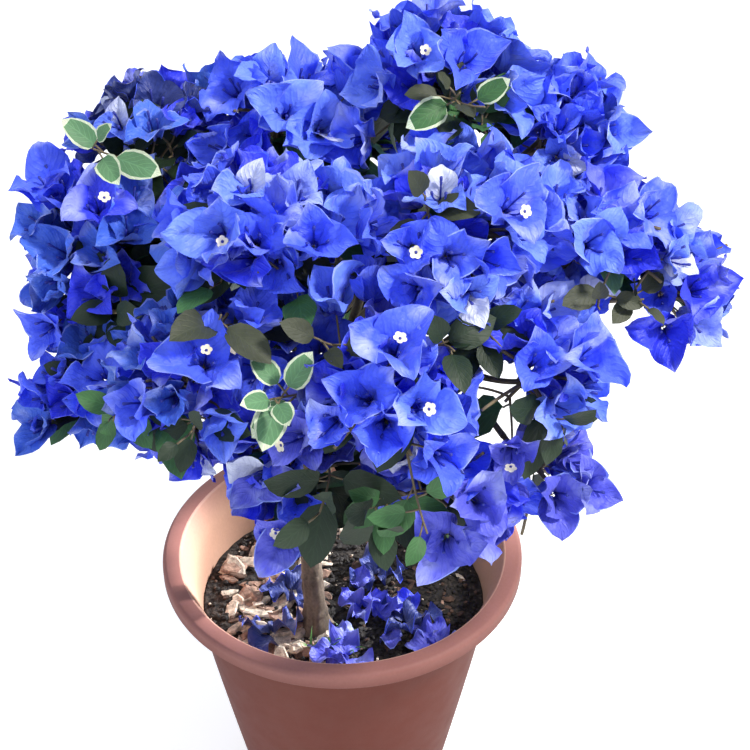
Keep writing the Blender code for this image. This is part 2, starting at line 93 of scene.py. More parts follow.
def makeCamera():
    data = bpy.data.cameras.new("camera")
    data.lens = camera["lens"]
    data.sensor_width = camera["sensor"]
    data.clip_start = camera["near"]
    obj = bpy.data.objects.new("camera", data)
    obj.location = camera["place"]
    obj.rotation_euler = (math.radians(90 - camera["below"]), 0, -math.radians(camera["right"]))
    bpy.context.scene.collection.objects.link(obj)
    bpy.context.scene.camera = obj


def addLamp(name, kind, place, aim, watts, **settings):
    data = bpy.data.lights.new(name, kind)
    data.energy = watts
    for key, value in settings.items():
        setattr(data, key, value)
    lamp = bpy.data.objects.new(name, data)
    lamp.location = place
    lamp.rotation_euler = (Vector(place) - Vector(aim)).to_track_quat("Z", "Y").to_euler()
    bpy.context.scene.collection.objects.link(lamp)


def makeStudio():
    scene = bpy.context.scene
    scene.view_settings.view_transform = "Standard"
    scene.world = bpy.data.worlds.new("sky")
    scene.world.use_nodes = True
    sky = scene.world.node_tree.nodes["Background"].inputs
    sky["Color"].default_value = (*studio["sky"], 1)
    sky["Strength"].default_value = studio["skyStrength"]
    for name, (place, size, watts, colour) in studio["lamps"].items():
        addLamp(name, "AREA", place, studio["aim"], watts, shape="DISK", size=size, color=colour)
    for name, (place, aim, angle, watts) in studio["beams"].items():
        cone = {"spot_size": math.radians(angle), "spot_blend": studio["beamBlend"]}
        addLamp(name, "SPOT", place, aim, watts, shadow_soft_size=studio["beamSize"], **cone)
    half = studio["floorSize"] / 2
    mesh = bpy.data.meshes.new("floor")
    corners = [(-half, -half, 0), (half, -half, 0), (half, half, 0), (-half, half, 0)]
    mesh.from_pydata(corners, [], [(0, 1, 2, 3)])
    floor = bpy.data.objects.new("floor", mesh)
    scene.collection.objects.link(floor)
    finish, tree, sockets = newFinish("floorPaint", studio["floor"], studio["floorRoughness"])
    seen = tree.nodes.new("ShaderNodeLightPath").outputs["Is Camera Ray"]
    glow = mixedColour(tree, seen, (studio["floorGlow"],) * 3, (studio["floorSeen"],) * 3)
    feed(tree, glow, sockets["Emission Color"])
    sockets["Emission Strength"].default_value = 1
    mesh.materials.append(finish)


def srgb(*levels):
    # a colour in everyday 0 to 255 levels, as linear light
    return tuple((c / 255 / 12.92) if c <= 10 else ((c / 255 + 0.055) / 1.055) ** 2.4 for c in levels)


def feed(tree, value, socket):
    # a link, or a plain number or colour
    if isinstance(value, bpy.types.NodeSocket):
        tree.links.new(value, socket)
    else:
        socket.default_value = (*value, 1) if isinstance(value, tuple) else value


def newNode(tree, kind, **values):
    node = tree.nodes.new("ShaderNode" + kind)
    for name, value in values.items():
        feed(tree, value, node.inputs[name])
    return node


def newFinish(name, colour, roughness):
    made = bpy.data.materials.new(name)
    made.use_nodes = True
    sockets = made.node_tree.nodes["Principled BSDF"].inputs
    sockets["Base Color"].default_value = (*colour, 1)
    sockets["Roughness"].default_value = roughness
    return made, made.node_tree, sockets


def newGroup(name, inputs, outputs):
    # inputs come with their defaults, where a colour has four numbers, and outputs with their kinds
    tree = bpy.data.node_groups.new(name, "ShaderNodeTree")
    for socketName, default in inputs.items():
        kind = "NodeSocketColor" if isinstance(default, tuple) else "NodeSocketFloat"
        tree.interface.new_socket(socketName, in_out="INPUT", socket_type=kind).default_value = default
    for socketName, kind in outputs.items():
        tree.interface.new_socket(socketName, in_out="OUTPUT", socket_type="NodeSocket" + kind)
    return tree, tree.nodes.new("NodeGroupInput").outputs, tree.nodes.new("NodeGroupOutput").inputs


def maths(tree, operation, *values):
    # one Math node fed by sockets or plain numbers
    node = tree.nodes.new("ShaderNodeMath")
    node.operation = operation
    for value, socket in zip(values, node.inputs):
        feed(tree, value, socket)
    return node.outputs[0]


def scaled(tree, value, factor, plus=0.0):
    return maths(tree, "MULTIPLY_ADD", value, factor, plus)


def atLeast(tree, value, least=0.0):
    return maths(tree, "MAXIMUM", value, least)


def noiseValue(tree, scale, detail=3.0, vector=None):
    if vector is None:
        vector = tree.nodes.new("ShaderNodeTexCoord").outputs["Object"]
    return newNode(tree, "TexNoise", Scale=scale, Detail=detail, Vector=vector).outputs["Fac"]


def scaledColour(tree, colour, factor):
    node = tree.nodes.new("ShaderNodeVectorMath")
    node.operation = "SCALE"
    feed(tree, colour, node.inputs[0])
    feed(tree, factor, node.inputs["Scale"])
    return node.outputs[0]


def mixedColour(tree, factor, first, second):
    node = tree.nodes.new("ShaderNodeMix")
    node.data_type = "RGBA"
    for place, value in ((0, factor), (6, first), (7, second)):
        feed(tree, value, node.inputs[place])
    return node.outputs[2]


def makePatchGroup():
    # a colour that grows lighter and darker in soft patches
    inputs = {"Colour": (1, 1, 1, 1), "Scale": 40.0, "Amount": 0.2}
    tree, given, result = newGroup("patches", inputs, {"Colour": "Color"})
    wave = scaled(tree, noiseValue(tree, given["Scale"]), 2.0, -1.0)
    factor = scaled(tree, wave, given["Amount"], 1.0)
    feed(tree, scaledColour(tree, given["Colour"], factor), result["Colour"])
    return tree


def makeVeinGroup():
    # midrib and slanting side veins of a blade, from its own map: across, and along
    inputs = {"Pairs": 7.0, "Slant": 0.35, "Sharpness": 5.0}
    tree, given, result = newGroup("veins", inputs, {"Mask": "Float", "Along": "Float", "Height": "Float"})
    blade = tree.nodes.new("ShaderNodeUVMap")
    blade.uv_map = "blade"
    parts = newNode(tree, "SeparateXYZ", Vector=blade.outputs[0]).outputs
    crinkle = noiseValue(tree, 130.0, 4.0)
    across = maths(tree, "ABSOLUTE", scaled(tree, parts[0], 2.0, -1.0))
    place = maths(tree, "SUBTRACT", parts[1], scaled(tree, across, given["Slant"]))
    place = scaled(tree, crinkle, 0.10, place)
    ridge = maths(tree, "PINGPONG", scaled(tree, place, given["Pairs"]), 0.5)
    side = maths(tree, "SUBTRACT", 1.0, scaled(tree, ridge, given["Sharpness"]))
    both = atLeast(tree, atLeast(tree, side, scaled(tree, across, -12.0, 1.0)))
    feed(tree, both, result["Mask"])
    feed(tree, parts[1], result["Along"])
    feed(tree, scaled(tree, both, -0.25, scaled(tree, crinkle, 2.0)), result["Height"])
    return tree


def makeGrainGroup():
    # bark: long ridges, fine cracks and pale specks
    inputs = {"Dark": (0, 0, 0, 1), "Light": (1, 1, 1, 1), "Scale": 90.0}
    tree, given, result = newGroup("barkGrain", inputs, {"Colour": "Color", "Height": "Float"})
    coordinates = tree.nodes.new("ShaderNodeTexCoord").outputs["Object"]
    stretch = newNode(tree, "Mapping", Vector=coordinates)
    stretch.inputs["Scale"].default_value = (1, 1, 0.16)
    ridges = noiseValue(tree, given["Scale"], 6.0, stretch.outputs[0])
    specks = noiseValue(tree, scaled(tree, given["Scale"], 4.0), 2.0)
    height = scaled(tree, specks, 0.35, ridges)
    tone = atLeast(tree, maths(tree, "SMOOTH_MIN", scaled(tree, height, 2.6, -1.25), 1.0, 0.1))
    feed(tree, mixedColour(tree, tone, given["Dark"], given["Light"]), result["Colour"])
    feed(tree, height, result["Height"])
    return tree


groups = {"patches": makePatchGroup(), "veins": makeVeinGroup(), "grain": makeGrainGroup()}


def placeGroup(tree, name, **values):
    node = tree.nodes.new("ShaderNodeGroup")
    node.node_tree = groups[name]
    for socketName, value in values.items():
        feed(tree, value, node.inputs[socketName])
    return node.outputs


def addBump(tree, sockets, height, strength, distance):
    bump = newNode(tree, "Bump", Strength=strength, Distance=distance, Height=height)
    feed(tree, bump.outputs[0], sockets["Normal"])


bractPaint = {
    "tints": {
        "royal": srgb(76, 102, 249),
        "bright": srgb(104, 134, 252),
        "teal": srgb(66, 106, 216),
        "violet": srgb(90, 95, 218),
        "deep": srgb(50, 64, 236),
        "navy": srgb(36, 54, 132),
        "pale": srgb(150, 168, 250),
        "white": srgb(206, 212, 238),
        # rim is a painted highlight along an edge, throat painted shade at a root; pale also serves as
        # painted light on top
        "rim": srgb(142, 162, 250),
        "throat": srgb(42, 52, 218),
    },
    "patches": {"Scale": 55.0, "Amount": 0.22},
    "veins": {"Pairs": 8.0, "Slant": 0.40, "Sharpness": 4.0},
    "veinShade": 0.03,
    "tipLight": 0.24,
    "rootShade": 0.32,
    # pale places towards a bract's tip: painted highlight
    "paintedHighlight": srgb(196, 206, 250),
    "paintedHighlightScale": 34.0,
    "paintedHighlightShare": 0.66,
    "roughness": 0.52,
    "sheen": 0.15,
    "bump": (0.7, 0.0014),
}
bractTints = list(bractPaint["tints"])


def bractFinish(tint):
    # painted shade at its root and a painted highlight at its tip, with faint veins and patches
    colour = bractPaint["tints"][tint]
    made, tree, sockets = newFinish("bract_" + tint, colour, bractPaint["roughness"])
    patches = placeGroup(tree, "patches", Colour=colour, **bractPaint["patches"])
    veins = placeGroup(tree, "veins", **bractPaint["veins"])
    low = atLeast(tree, scaled(tree, veins["Along"], -3.0, 1.0))
    high = maths(tree, "POWER", veins["Along"], 2.0)
    shade = scaled(tree, veins["Mask"], -bractPaint["veinShade"], 1.0)
    shade = scaled(tree, low, -bractPaint["rootShade"], shade)
    shade = scaled(tree, high, bractPaint["tipLight"], shade)
    # pale places, mostly towards the tip: a painted highlight
    spots = scaled(tree, noiseValue(tree, bractPaint["paintedHighlightScale"], 2.0), 5.0, -3.1)
    spots = maths(tree, "MINIMUM", atLeast(tree, scaled(tree, high, 0.9, spots)), 1.0)
    spots = scaled(tree, spots, bractPaint["paintedHighlightShare"])
    body = mixedColour(tree, spots, scaledColour(tree, patches["Colour"], shade), bractPaint["paintedHighlight"])
    feed(tree, body, sockets["Base Color"])
    sockets["Sheen Weight"].default_value = bractPaint["sheen"]
    addBump(tree, sockets, veins["Height"], *bractPaint["bump"])
    return made


leafPaint = {
    "tints": {
        "dark": srgb(29, 49, 28),
        "mid": srgb(60, 106, 58),
        "olive": srgb(56, 62, 42),
        "light": srgb(94, 138, 96),
        "cream": srgb(206, 218, 186),
    },
    "patches": {"Scale": 38.0, "Amount": 0.30},
    "veins": {"Pairs": 6.0, "Slant": 0.45, "Sharpness": 7.0},
    "veinLight": 0.30,
    "roughness": 0.58,
    "bump": (0.4, 0.0010),
}
leafTints = list(leafPaint["tints"])


def leafFinish(tint):
    colour = leafPaint["tints"][tint]
    made, tree, sockets = newFinish("leaf_" + tint, colour, leafPaint["roughness"])
    patches = placeGroup(tree, "patches", Colour=colour, **leafPaint["patches"])
    veins = placeGroup(tree, "veins", **leafPaint["veins"])
    shade = scaled(tree, veins["Mask"], leafPaint["veinLight"], 1.0)
    feed(tree, scaledColour(tree, patches["Colour"], shade), sockets["Base Color"])
    addBump(tree, sockets, veins["Height"], *leafPaint["bump"])
    return made


def softFinish(name, colour, roughness, scale, amount):
    # twigs, flower tubes and petals: a colour in soft patches, with a fine bump
    made, tree, sockets = newFinish(name, colour, roughness)
    patches = placeGroup(tree, "patches", Colour=colour, Scale=scale, Amount=amount)
    feed(tree, patches["Colour"], sockets["Base Color"])
    addBump(tree, sockets, noiseValue(tree, scale * 3), 0.3, 0.0006)
    return made


def grainFinish(name, colour, roughness, strength, **grain):
    # bark and split wood
    made, tree, sockets = newFinish(name, colour, roughness)
    grain = placeGroup(tree, "grain", **grain)
    feed(tree, grain["Colour"], sockets["Base Color"])
    addBump(tree, sockets, grain["Height"], strength, 0.0012)
    return made


def newBag():
    return {"points": [], "faces": [], "finishes": [], "maps": [], "count": 0}


def addPatch(bag, points, faces, finishes, uvs=None):
    # points as rows of an array, faces as tuples of their numbers, and a finish for each face or for all
    points = np.asarray(points, dtype=float).reshape(-1, 3)
    first = bag["count"]
    bag["points"].append(points)
    bag["faces"] += [tuple(first + i for i in face) for face in faces]
    bag["finishes"] += [finishes] * len(faces) if isinstance(finishes, int) else list(finishes)
    bag["maps"].append(np.zeros((len(points), 2)) if uvs is None else uvs)
    bag["count"] = first + len(points)


def makePiece(name, bag, finishes, replaced, smooth=True):
    mesh = bpy.data.meshes.new(name)
    mesh.from_pydata(np.concatenate(bag["points"]).tolist(), [], bag["faces"])
    mesh.polygons.foreach_set("material_index", bag["finishes"])
    mesh.polygons.foreach_set("use_smooth", [smooth] * len(bag["faces"]))
    corners = np.zeros(len(mesh.loops), dtype=int)
    mesh.loops.foreach_get("vertex_index", corners)
    layer = mesh.uv_layers.new(name="blade")
    layer.data.foreach_set("uv", np.concatenate(bag["maps"])[corners].ravel())
    for finish in finishes:
        mesh.materials.append(finish)
    mesh.update()
    obj = bpy.data.objects.new(name, mesh)
    bpy.context.scene.collection.objects.link(obj)
    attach(obj, "root")
    if replaced:
        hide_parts(*replaced)
    mesh.calc_loop_triangles()
    print(f"{name}: {len(mesh.loop_triangles)} triangles")
    return obj


def gridFaces(rows, columns):
    # quads between rows of points, and triangles to the one point at the end
    faces = []
    for a in range(0, (rows - 2) * columns, columns):
        faces += [(a + c, a + c + 1, a + columns + c + 1, a + columns + c) for c in range(columns - 1)]
    low, tip = (rows - 2) * columns, (rows - 1) * columns
    return faces + [(low + c, low + c + 1, tip) for c in range(columns - 1)]


def ringFaces(rings, steps, first=0):
    # quads between closed rings of points
    faces = []
    for low in range(first, first + (rings - 1) * steps, steps):
        for k in range(steps):
            n = (k + 1) % steps
            faces.append((low + k, low + n, low + steps + n, low + steps + k))
    return faces


def closedFaces(rings, steps):
    last = (rings - 1) * steps
    return ringFaces(rings, steps) + [tuple(range(steps))[::-1], tuple(range(last, last + steps))]


def circle(radius, steps):
    turns = [math.tau * k / steps for k in range(steps)]
    return [(radius * math.cos(turn), radius * math.sin(turn)) for turn in turns]


def framesAlong(path):
    # a matrix at each point of the path, with Z along it and no twist
    made = []
    across = None
    for i, point in enumerate(path):
        ahead = (path[min(i + 1, len(path) - 1)] - path[max(i - 1, 0)]).normalized()
        if across is None:
            across = ahead.orthogonal().normalized()
        across = (across - ahead * across.dot(ahead)).normalized()
        side = ahead.cross(across)
        made.append(Matrix((across, side, ahead)).transposed().to_4x4())
        made[-1].translation = point
    return made


def addTube(bag, path, radii, sides, relief=None):
    # a tapering tube with closed ends; relief(turn, run) gives a factor on its radius
    points, uvs = [], []
    run = 0.0
    for i, (place, radius) in enumerate(zip(framesAlong(path), radii)):
        if i:
            run += (path[i] - path[i - 1]).length
        for k in range(sides):
            turn = math.tau * k / sides
            r = radius * (relief(turn, run) if relief else 1)
            points.append(place @ Vector((r * math.cos(turn), r * math.sin(turn), 0)))
            uvs.append((k / sides, run))
    addPatch(bag, points, closedFaces(len(path), sides), 0, np.array(uvs))


def bezier(a, b, c, d, steps):
    points = []
    for i in range(steps + 1):
        t = i / steps
        s = 1 - t
        points.append(a * s**3 + b * (3 * s * s * t) + c * (3 * s * t * t) + d * t**3)
    return points


def taper(first, last, count):
    return [first + (last - first) * i / (count - 1) for i in range(count)]


def metres(place):
    return Vector([size / 1000 for size in place])


crown = {
    "axis": Vector((0.020, 0.020, 0)),
    "middle": 0.455,
    "outside": 1.06,  # how far foliage may reach, as a share of a mass's half sizes
    "tips": 0.94,  # and how far the tips of bracts do
    "seed": 100,
    # bearing; how far out and how high, radius and half height in mm; parent limb and the share of its length
    "masses": {
        "front_left": (-131, 170, 490, 70, 60, "left_mid", 0.3),
        "front_centre": (-88, 160, 500, 78, 66, "trunk", 0.93),
        "front_low_left": (-112, 140, 415, 62, 66, "trunk", 0.66),
        "front_low_right": (-70, 143, 411, 66, 68, "trunk", 0.74),
        "front_inner": (-130, 112, 472, 62, 55, "trunk", 0.8),
        "left_under": (-145, 146, 424, 54, 44, "left_mid", 0.42),
        "left_low": (-164, 203, 440, 66, 50, "left_mid", 0.55),
        "left_mid": (181, 180, 510, 82, 72, "trunk", 0.84),
        "left_top": (157, 165, 566, 74, 56, "centre_left", 0.5),
        "centre_left": (-131, 100, 568, 80, 60, "trunk", 1.0),
        "centre_right": (-60, 95, 570, 80, 60, "top_mid", 0.34),
        "top_left": (128, 100, 573, 82, 54, "centre_left", 0.72),
        "top_mid": (46, 68, 618, 80, 62, "trunk", 0.96),
        "top_right": (20, 140, 580, 75, 54, "top_mid", 0.55),
        "right_inner": (-38, 113, 492, 62, 55, "right_mid", 0.3),
        "right_mid": (-12, 155, 538, 78, 60, "trunk", 0.88),
        "right_end": (-6, 209, 490, 66, 58, "right_mid", 0.66),
        "right_low": (-50, 158, 485, 66, 56, "right_mid", 0.4),
        "right_droop": (-42, 156, 395, 52, 62, "right_low", 0.45),
        "back_left": (146, 175, 478, 84, 74, "back_mid", 0.4),
        "back_mid": (92, 172, 510, 86, 72, "trunk", 0.9),
        "back_right": (36, 178, 472, 84, 74, "back_mid", 0.5),
        "back_low": (92, 130, 400, 78, 60, "trunk", 0.7),
    },
}
# spaces that stay open, as a line and a radius in mm: nothing grows in the first kind, and only leaves in
# the second
clearingRows = {
    "open": (
        ((94, -190, 528), (118, 0, 391), 21),
        ((114, -175, 471), (135, -20, 350), 13),
        ((178, -110, 528), (210, 50, 428), 13),
        ((-120, -130, 392), (-75, -130, 385), 24),
        ((-222, -50, 471), (-215, 30, 420), 12),
        ((-218, -40, 536), (-212, 40, 484), 12),
        ((16, 50, 668), (14, 110, 628), 10),
        ((278, -10, 540), (286, 60, 490), 10),
        ((202, -20, 600), (213, 80, 540), 17),
        ((-176, 64, 618), (-190, 136, 584), 14),
        ((127, 46, 673), (135, 117, 641), 12),
        ((173, -140, 492), (192, -70, 446), 12),
        ((126, -140, 366), (136, -60, 316), 16),
        ((184, -110, 424), (196, -30, 370), 18),
        ((150, 75, 652), (158, 130, 615), 12),
        ((186, -90, 450), (205, 10, 380), 18),
    ),
    "leafy": (
        ((-10, -165, 562), (-12, -100, 519), 13),
        ((-41, -175, 531), (-41, -130, 500), 20),
        ((-82, -135, 567), (-86, -90, 537), 13),
        ((70, -170, 555), (80, -100, 505), 13),
        ((78, -10, 644), (82, 30, 620), 9),
        ((52, -110, 626), (57, -60, 595), 10),
        ((150, -70, 525), (198, -64, 508), 16),
        ((56, -190, 443), (56, -130, 404), 18),
        ((2, -205, 478), (-4, -120, 415), 16),
        ((-100, -180, 478), (-86, -120, 433), 18),
        ((-158, 20, 604), (-156, 50, 584), 14),
        ((-150, -150, 476), (-138, -90, 432), 14),
    ),
}
clearings = {}
for kind, rows in clearingRows.items():
    clearings[kind] = [(metres(start), metres(end), radius / 1000) for start, end, radius in rows]
# blossoms in places of their own, with an open flower or with none: the heart in mm, tint, turn in degrees
# and bract length in mm
# the navy tints on the back left are painted shade
placedBlossoms = {
    True: (
        ((-38, -162, 400), "violet", 20, 36),
        ((53, 33, 654), "bright", 40, 40),
        ((109, -91, 607), "royal", 10, 42),
        ((-73, -105, 597), "bright", 70, 40),
        ((-81, -140, 530), "royal", 30, 43),
        ((-31, -176, 496), "violet", 25, 33),
        ((33, -162, 553), "royal", 0, 43),
        ((-160, -7, 568), "deep", 50, 40),
        ((105, -154, 460), "violet", 55, 28),
        ((48, -180, 520), "bright", 100, 42),
    ),
    False: (
        ((-126, 79, 603), "navy", 60, 35),
        ((-96, 80, 600), "navy", 0, 34),
        ((-190, 18, 562), "royal", 15, 40),
        ((-186, -17, 536), "teal", 80, 40),
        ((-206, -80, 434), "teal", 20, 37),
        ((-200, -42, 488), "royal", 30, 32),
        ((68, -168, 400), "violet", 15, 42),
        ((86, -166, 436), "violet", 70, 41),
        ((62, -190, 488), "royal", 40, 38),
        ((-152, 47, 601), "white", 20, 25),
        ((-7, 42, 596), "white", 80, 30),
        ((-55, -80, 616), "white", 10, 30),
        ((79, -132, 564), "white", 50, 28),
        ((149, 4, 589), "white", 100, 27),
        ((62, -90, 616), "white", 35, 28),
        ((225, -55, 545), "white", 75, 26),
        ((163, 58, 614), "royal", 40, 40),
        ((145, 56, 617), "bright", 85, 38),
        ((208, -34, 570), "royal", 25, 34),
        ((-196, 22, 572), "royal", 55, 40),
        ((-78, 12, 560), "royal", 30, 36),
        ((-60, 40, 566), "deep", 75, 36),
        ((-44, 8, 572), "royal", 10, 38),
        ((-14, 4, 570), "bright", 60, 38),
        ((12, 14, 574), "royal", 95, 36),
        ((145, -125, 401), "violet", 45, 37),
        ((169, -116, 402), "violet", 110, 35),
        ((248, -30, 506), "deep", 10, 39),
        ((222, -50, 483), "deep", 65, 37),
        ((156, -123, 514), "royal", 30, 40),
        ((230, -20, 545), "bright", 90, 40),
        ((192, 33, 594), "bright", 5, 37),
        ((178, 62, 620), "royal", 70, 34),
        ((158, 73, 612), "royal", 55, 39),
        ((88, 38, 646), "royal", 95, 40),
        ((-74, 83, 610), "royal", 45, 37),
        ((-48, 84, 616), "bright", 20, 40),
        ((-20, 88, 616), "royal", 80, 39),
        ((-34, 45, 606), "bright", 45, 42),
        ((-8, 38, 596), "bright", 100, 42),
        ((12, 30, 588), "royal", 5, 40),
        ((-112, 4, 548), "royal", 35, 36),
        ((-100, 34, 552), "deep", 80, 37),
        ((-88, 6, 556), "royal", 10, 34),
    ),
}
# tufts of leaves: the foot in mm, which way they face, how many, length in mm, tint and the tint of the rims
placedTufts = (
    ((-42, -154, 508), (-0.1, -0.8, 0.6), 7, 32, "light", "cream"),
    ((-158, 30, 586), (-0.1, -0.7, 0.65), 5, 31, "light", "cream"),
    ((30, -150, 428), (0.0, -0.9, 0.1), 4, 34, "mid", None),
    ((46, -184, 442), (0.0, -0.8, 0.1), 4, 31, "mid", None),
    ((80, 40, 606), (0.0, -0.6, 0.8), 8, 36, "dark", None),
    ((100, 20, 596), (0.1, -0.6, 0.8), 6, 36, "mid", None),
    ((-140, -30, 500), (-0.2, -0.7, 0.6), 7, 38, "dark", None),
    ((-60, -60, 560), (0.0, -0.7, 0.7), 7, 38, "dark", None),
    ((-60, 20, 536), (0.0, 0.1, 1.0), 8, 40, "dark", None),
    ((-10, 20, 540), (0.1, 0.1, 1.0), 8, 40, "mid", None),
    ((-166, -36, 452), (-0.2, -0.7, 0.6), 6, 28, "dark", None),
    ((128, -128, 478), (0.3, -0.8, 0.2), 6, 34, "dark", None),
    ((-128, -4, 494), (-0.1, -0.7, 0.6), 7, 36, "dark", None),
    ((-157, -14, 482), (-0.2, -0.7, 0.6), 6, 32, "dark", None),
    ((-102, 18, 520), (0.0, 0.1, 1.0), 7, 38, "dark", None),
    ((90, -100, 515), (0.1, -0.7, 0.6), 6, 32, "dark", None),
    ((-142, 70, 556), (0.0, -0.6, 0.8), 8, 36, "dark", None),
    ((-112, 66, 560), (0.0, -0.6, 0.8), 7, 36, "dark", None),
    ((60, -60, 560), (0.0, -0.7, 0.7), 7, 38, "dark", None),
    ((76, 8, 628), (0.0, -0.7, 0.7), 4, 26, "olive", None),
    ((84, -4, 630), (0.4, -0.7, 0.4), 2, 30, "mid", "cream"),
    ((170, -68, 520), (0.2, -0.7, 0.6), 3, 22, "olive", None),
    ((192, -66, 514), (0.5, -0.6, 0.4), 4, 21, "olive", None),
    ((-72, -116, 535), (0.5, -0.5, 0.7), 3, 44, "olive", None),
    ((-6, -150, 440), (-0.1, -0.9, 0.1), 6, 44, "dark", None),
    ((18, -150, 425), (0.3, -0.9, 0.0), 5, 44, "dark", None),
    ((-90, -146, 480), (-0.2, -0.9, 0.1), 6, 30, "dark", None),
    ((-140, -124, 478), (-0.4, -0.8, -0.1), 5, 24, "mid", None),
    ((66, -130, 535), (0.2, -0.8, 0.5), 4, 36, "dark", None),
    ((-10, -135, 535), (0.0, -0.8, 0.5), 4, 30, "olive", None),
    ((54, -85, 605), (0.0, -0.8, 0.6), 3, 28, "olive", None),
)
regions = ("front", "left", "top", "right", "back")


def layOutMasses():
    masses = {}
    middle = crown["axis"] + up * crown["middle"]
    for i, (name, (bearing, *sizes, parent, share)) in enumerate(crown["masses"].items()):
        out, height, radius, halfHeight = (size / 1000 for size in sizes)
        turn = math.radians(bearing)
        centre = crown["axis"] + Vector((out * math.cos(turn), out * math.sin(turn), height))
        masses[name] = {
            "name": name,
            "region": name.split("_")[0].replace("centre", "top"),
            "centre": centre,
            "half": Vector((radius, radius, halfHeight)),
            "size": radius,
            "outward": (centre - middle).normalized(),
            "parent": parent,
            "share": share,
            "seed": crown["seed"] + i,
        }
    for mass in masses.values():
        mass["planes"] = [planeBetween(mass, m) for m in masses.values() if m is not mass]
    return masses


def halfSizeAlong(mass, direction):
    return math.sqrt(sum((mass["half"][i] * direction[i]) ** 2 for i in range(3)))


def planeBetween(mass, other):
    # point and normal of the plane that parts two masses, nearer to the smaller one
    across = other["centre"] - mass["centre"]
    normal = across.normalized()
    mine, theirs = halfSizeAlong(mass, normal), halfSizeAlong(other, normal)
    return mass["centre"] + across * (mine / (mine + theirs)), normal


def howFarOut(mass, point):
    # 1 on the mass's outside, less within it
    d = point - mass["centre"]
    return math.sqrt(sum((d[i] / mass["half"][i]) ** 2 for i in range(3)))


def outsideAll(masses, point, reach):
    return min(howFarOut(mass, point) for mass in masses) > reach


def placeIn(mass, aim, reach):
    # the point this share of the way from the middle of a mass to its outside
    return mass["centre"] + Vector([aim[i] * mass["half"][i] * reach for i in range(3)])


def inSpace(mass, point, slack=0.0):
    if howFarOut(mass, point) > crown["outside"]:
        return False
    return all((point - foot).dot(normal) < slack for foot, normal in mass["planes"])


def nearestMass(masses, point):
    return min(masses, key=lambda mass: howFarOut(mass, point))


def nearest(places, point):
    return min(places, key=lambda place: (place - point).length)


def inClearing(point, kinds, slack=0.0):
    for kind in kinds:
        for start, end, radius in clearings[kind]:
            line = end - start
            share = min(max((point - start).dot(line) / line.length_squared, 0), 1)
            if (start + line * share - point).length < radius + slack:
                return True
    return False


trunk = {
    "foot": Vector((-0.0205, -0.0400, 0.2033)),
    "top": Vector((-0.0160, -0.0200, 0.362)),
    "bow": 0.006,
    "radius": (0.0085, 0.0064),
    "flare": 0.0050,
    "flareHeight": 0.011,
    "bunched": 1.4,  # rings are closer together near the foot
    "rings": 8,
    "fineRings": 90,
    "sides": 28,
    "relief": {"depth": 0.16, "ridges": 2.6, "stretch": 60, "knots": 0.034},
    "reliefSeed": 3,
    "skin": "trunkBark",
    "bark": {"Dark": srgb(70, 60, 52), "Light": srgb(130, 114, 98), "Scale": 120.0},
}
bough = {
    "foot": {"trunk": 0.0046, "bough": 0.0034},
    "tip": 0.0022,
    "slimmer": 0.86,
    "spring": 0.55,
    "rise": 0.25,
    "pull": (0.40, 0.36),
    "arch": 0.10,
    "entries": (0.62, 0.50, 0.40, 0.30),
    "clear": 0.0028,  # between its end and the next mass's space
    "rings": 6,
    "fineRings": 40,
    "sides": 14,
    "relief": {"depth": 0.12, "ridges": 1.8, "stretch": 90, "knots": 0.026},
    "skin": "boughBark",
    "bark": {"Dark": srgb(74, 66, 48), "Light": srgb(142, 130, 98), "Scale": 160.0},
}
barkRoughness, barkBump = 0.85, 0.6
knot = {"height": 0.09, "width": 0.0022}


def trunkLimb(rings):
    path, radii = [], []
    for i in range(rings + 1):
        t = (i / rings) ** trunk["bunched"]
        bow = Vector((-trunk["bow"], 0, 0)) * math.sin(math.pi * t)
        path.append(trunk["foot"].lerp(trunk["top"], t) + bow)
        height = path[-1].z - trunk["foot"].z
        thick = trunk["radius"][0] + (trunk["radius"][1] - trunk["radius"][0]) * t
        radii.append(thick + trunk["flare"] * math.exp(-height / trunk["flareHeight"]))
    return {"path": path, "radii": radii}


def along(limb, share):
    # the point at this share of the limb's length, and the limb's direction and radius there
    path = limb["path"]
    place = min(share * (len(path) - 1), len(path) - 1 - 1e-6)
    i = int(place)
    ahead = (path[i + 1] - path[i]).normalized()
    radius = limb["radii"][i] + (limb["radii"][i + 1] - limb["radii"][i]) * (place - i)
    return path[i].lerp(path[i + 1], place - i), ahead, radius


def boughLimb(mass, limbs):
    # leaves its parent partly along it, and arrives at the mass heading for its middle
    start, ahead, thick = along(limbs[mass["parent"]], mass["share"])
    way = (start - mass["centre"]).normalized() * mass["size"]
    entries = [mass["centre"] + way * part for part in bough["entries"]]
    entry = next(e for e in entries if inSpace(mass, e, -bough["clear"]))
    span = (entry - start).length
    leave = (ahead * bough["spring"] + (entry - start).normalized() + up * bough["rise"]).normalized()
    arrive = (mass["centre"] - entry).normalized()
    first = start + leave * span * bough["pull"][0]
    second = entry - arrive * span * bough["pull"][1] + up * span * bough["arch"]
    kind = "trunk" if mass["parent"] == "trunk" else "bough"
    foot = min(bough["foot"][kind], thick * bough["slimmer"])

    def shaped(rings):
        path = bezier(start, first, second, entry, rings)
        return {"path": path, "radii": taper(foot, bough["tip"], rings + 1)}

    return dict(shaped(bough["rings"]), fine=shaped(bough["fineRings"]))


def layOutLimbs(masses):
    limbs = {"trunk": dict(trunkLimb(trunk["rings"]), fine=trunkLimb(trunk["fineRings"]))}
    waiting = list(masses.values())
    while waiting:
        mass = waiting.pop(0)
        if mass["parent"] in limbs:
            limbs[mass["name"]] = boughLimb(mass, limbs)
        else:
            waiting.append(mass)
    return limbs


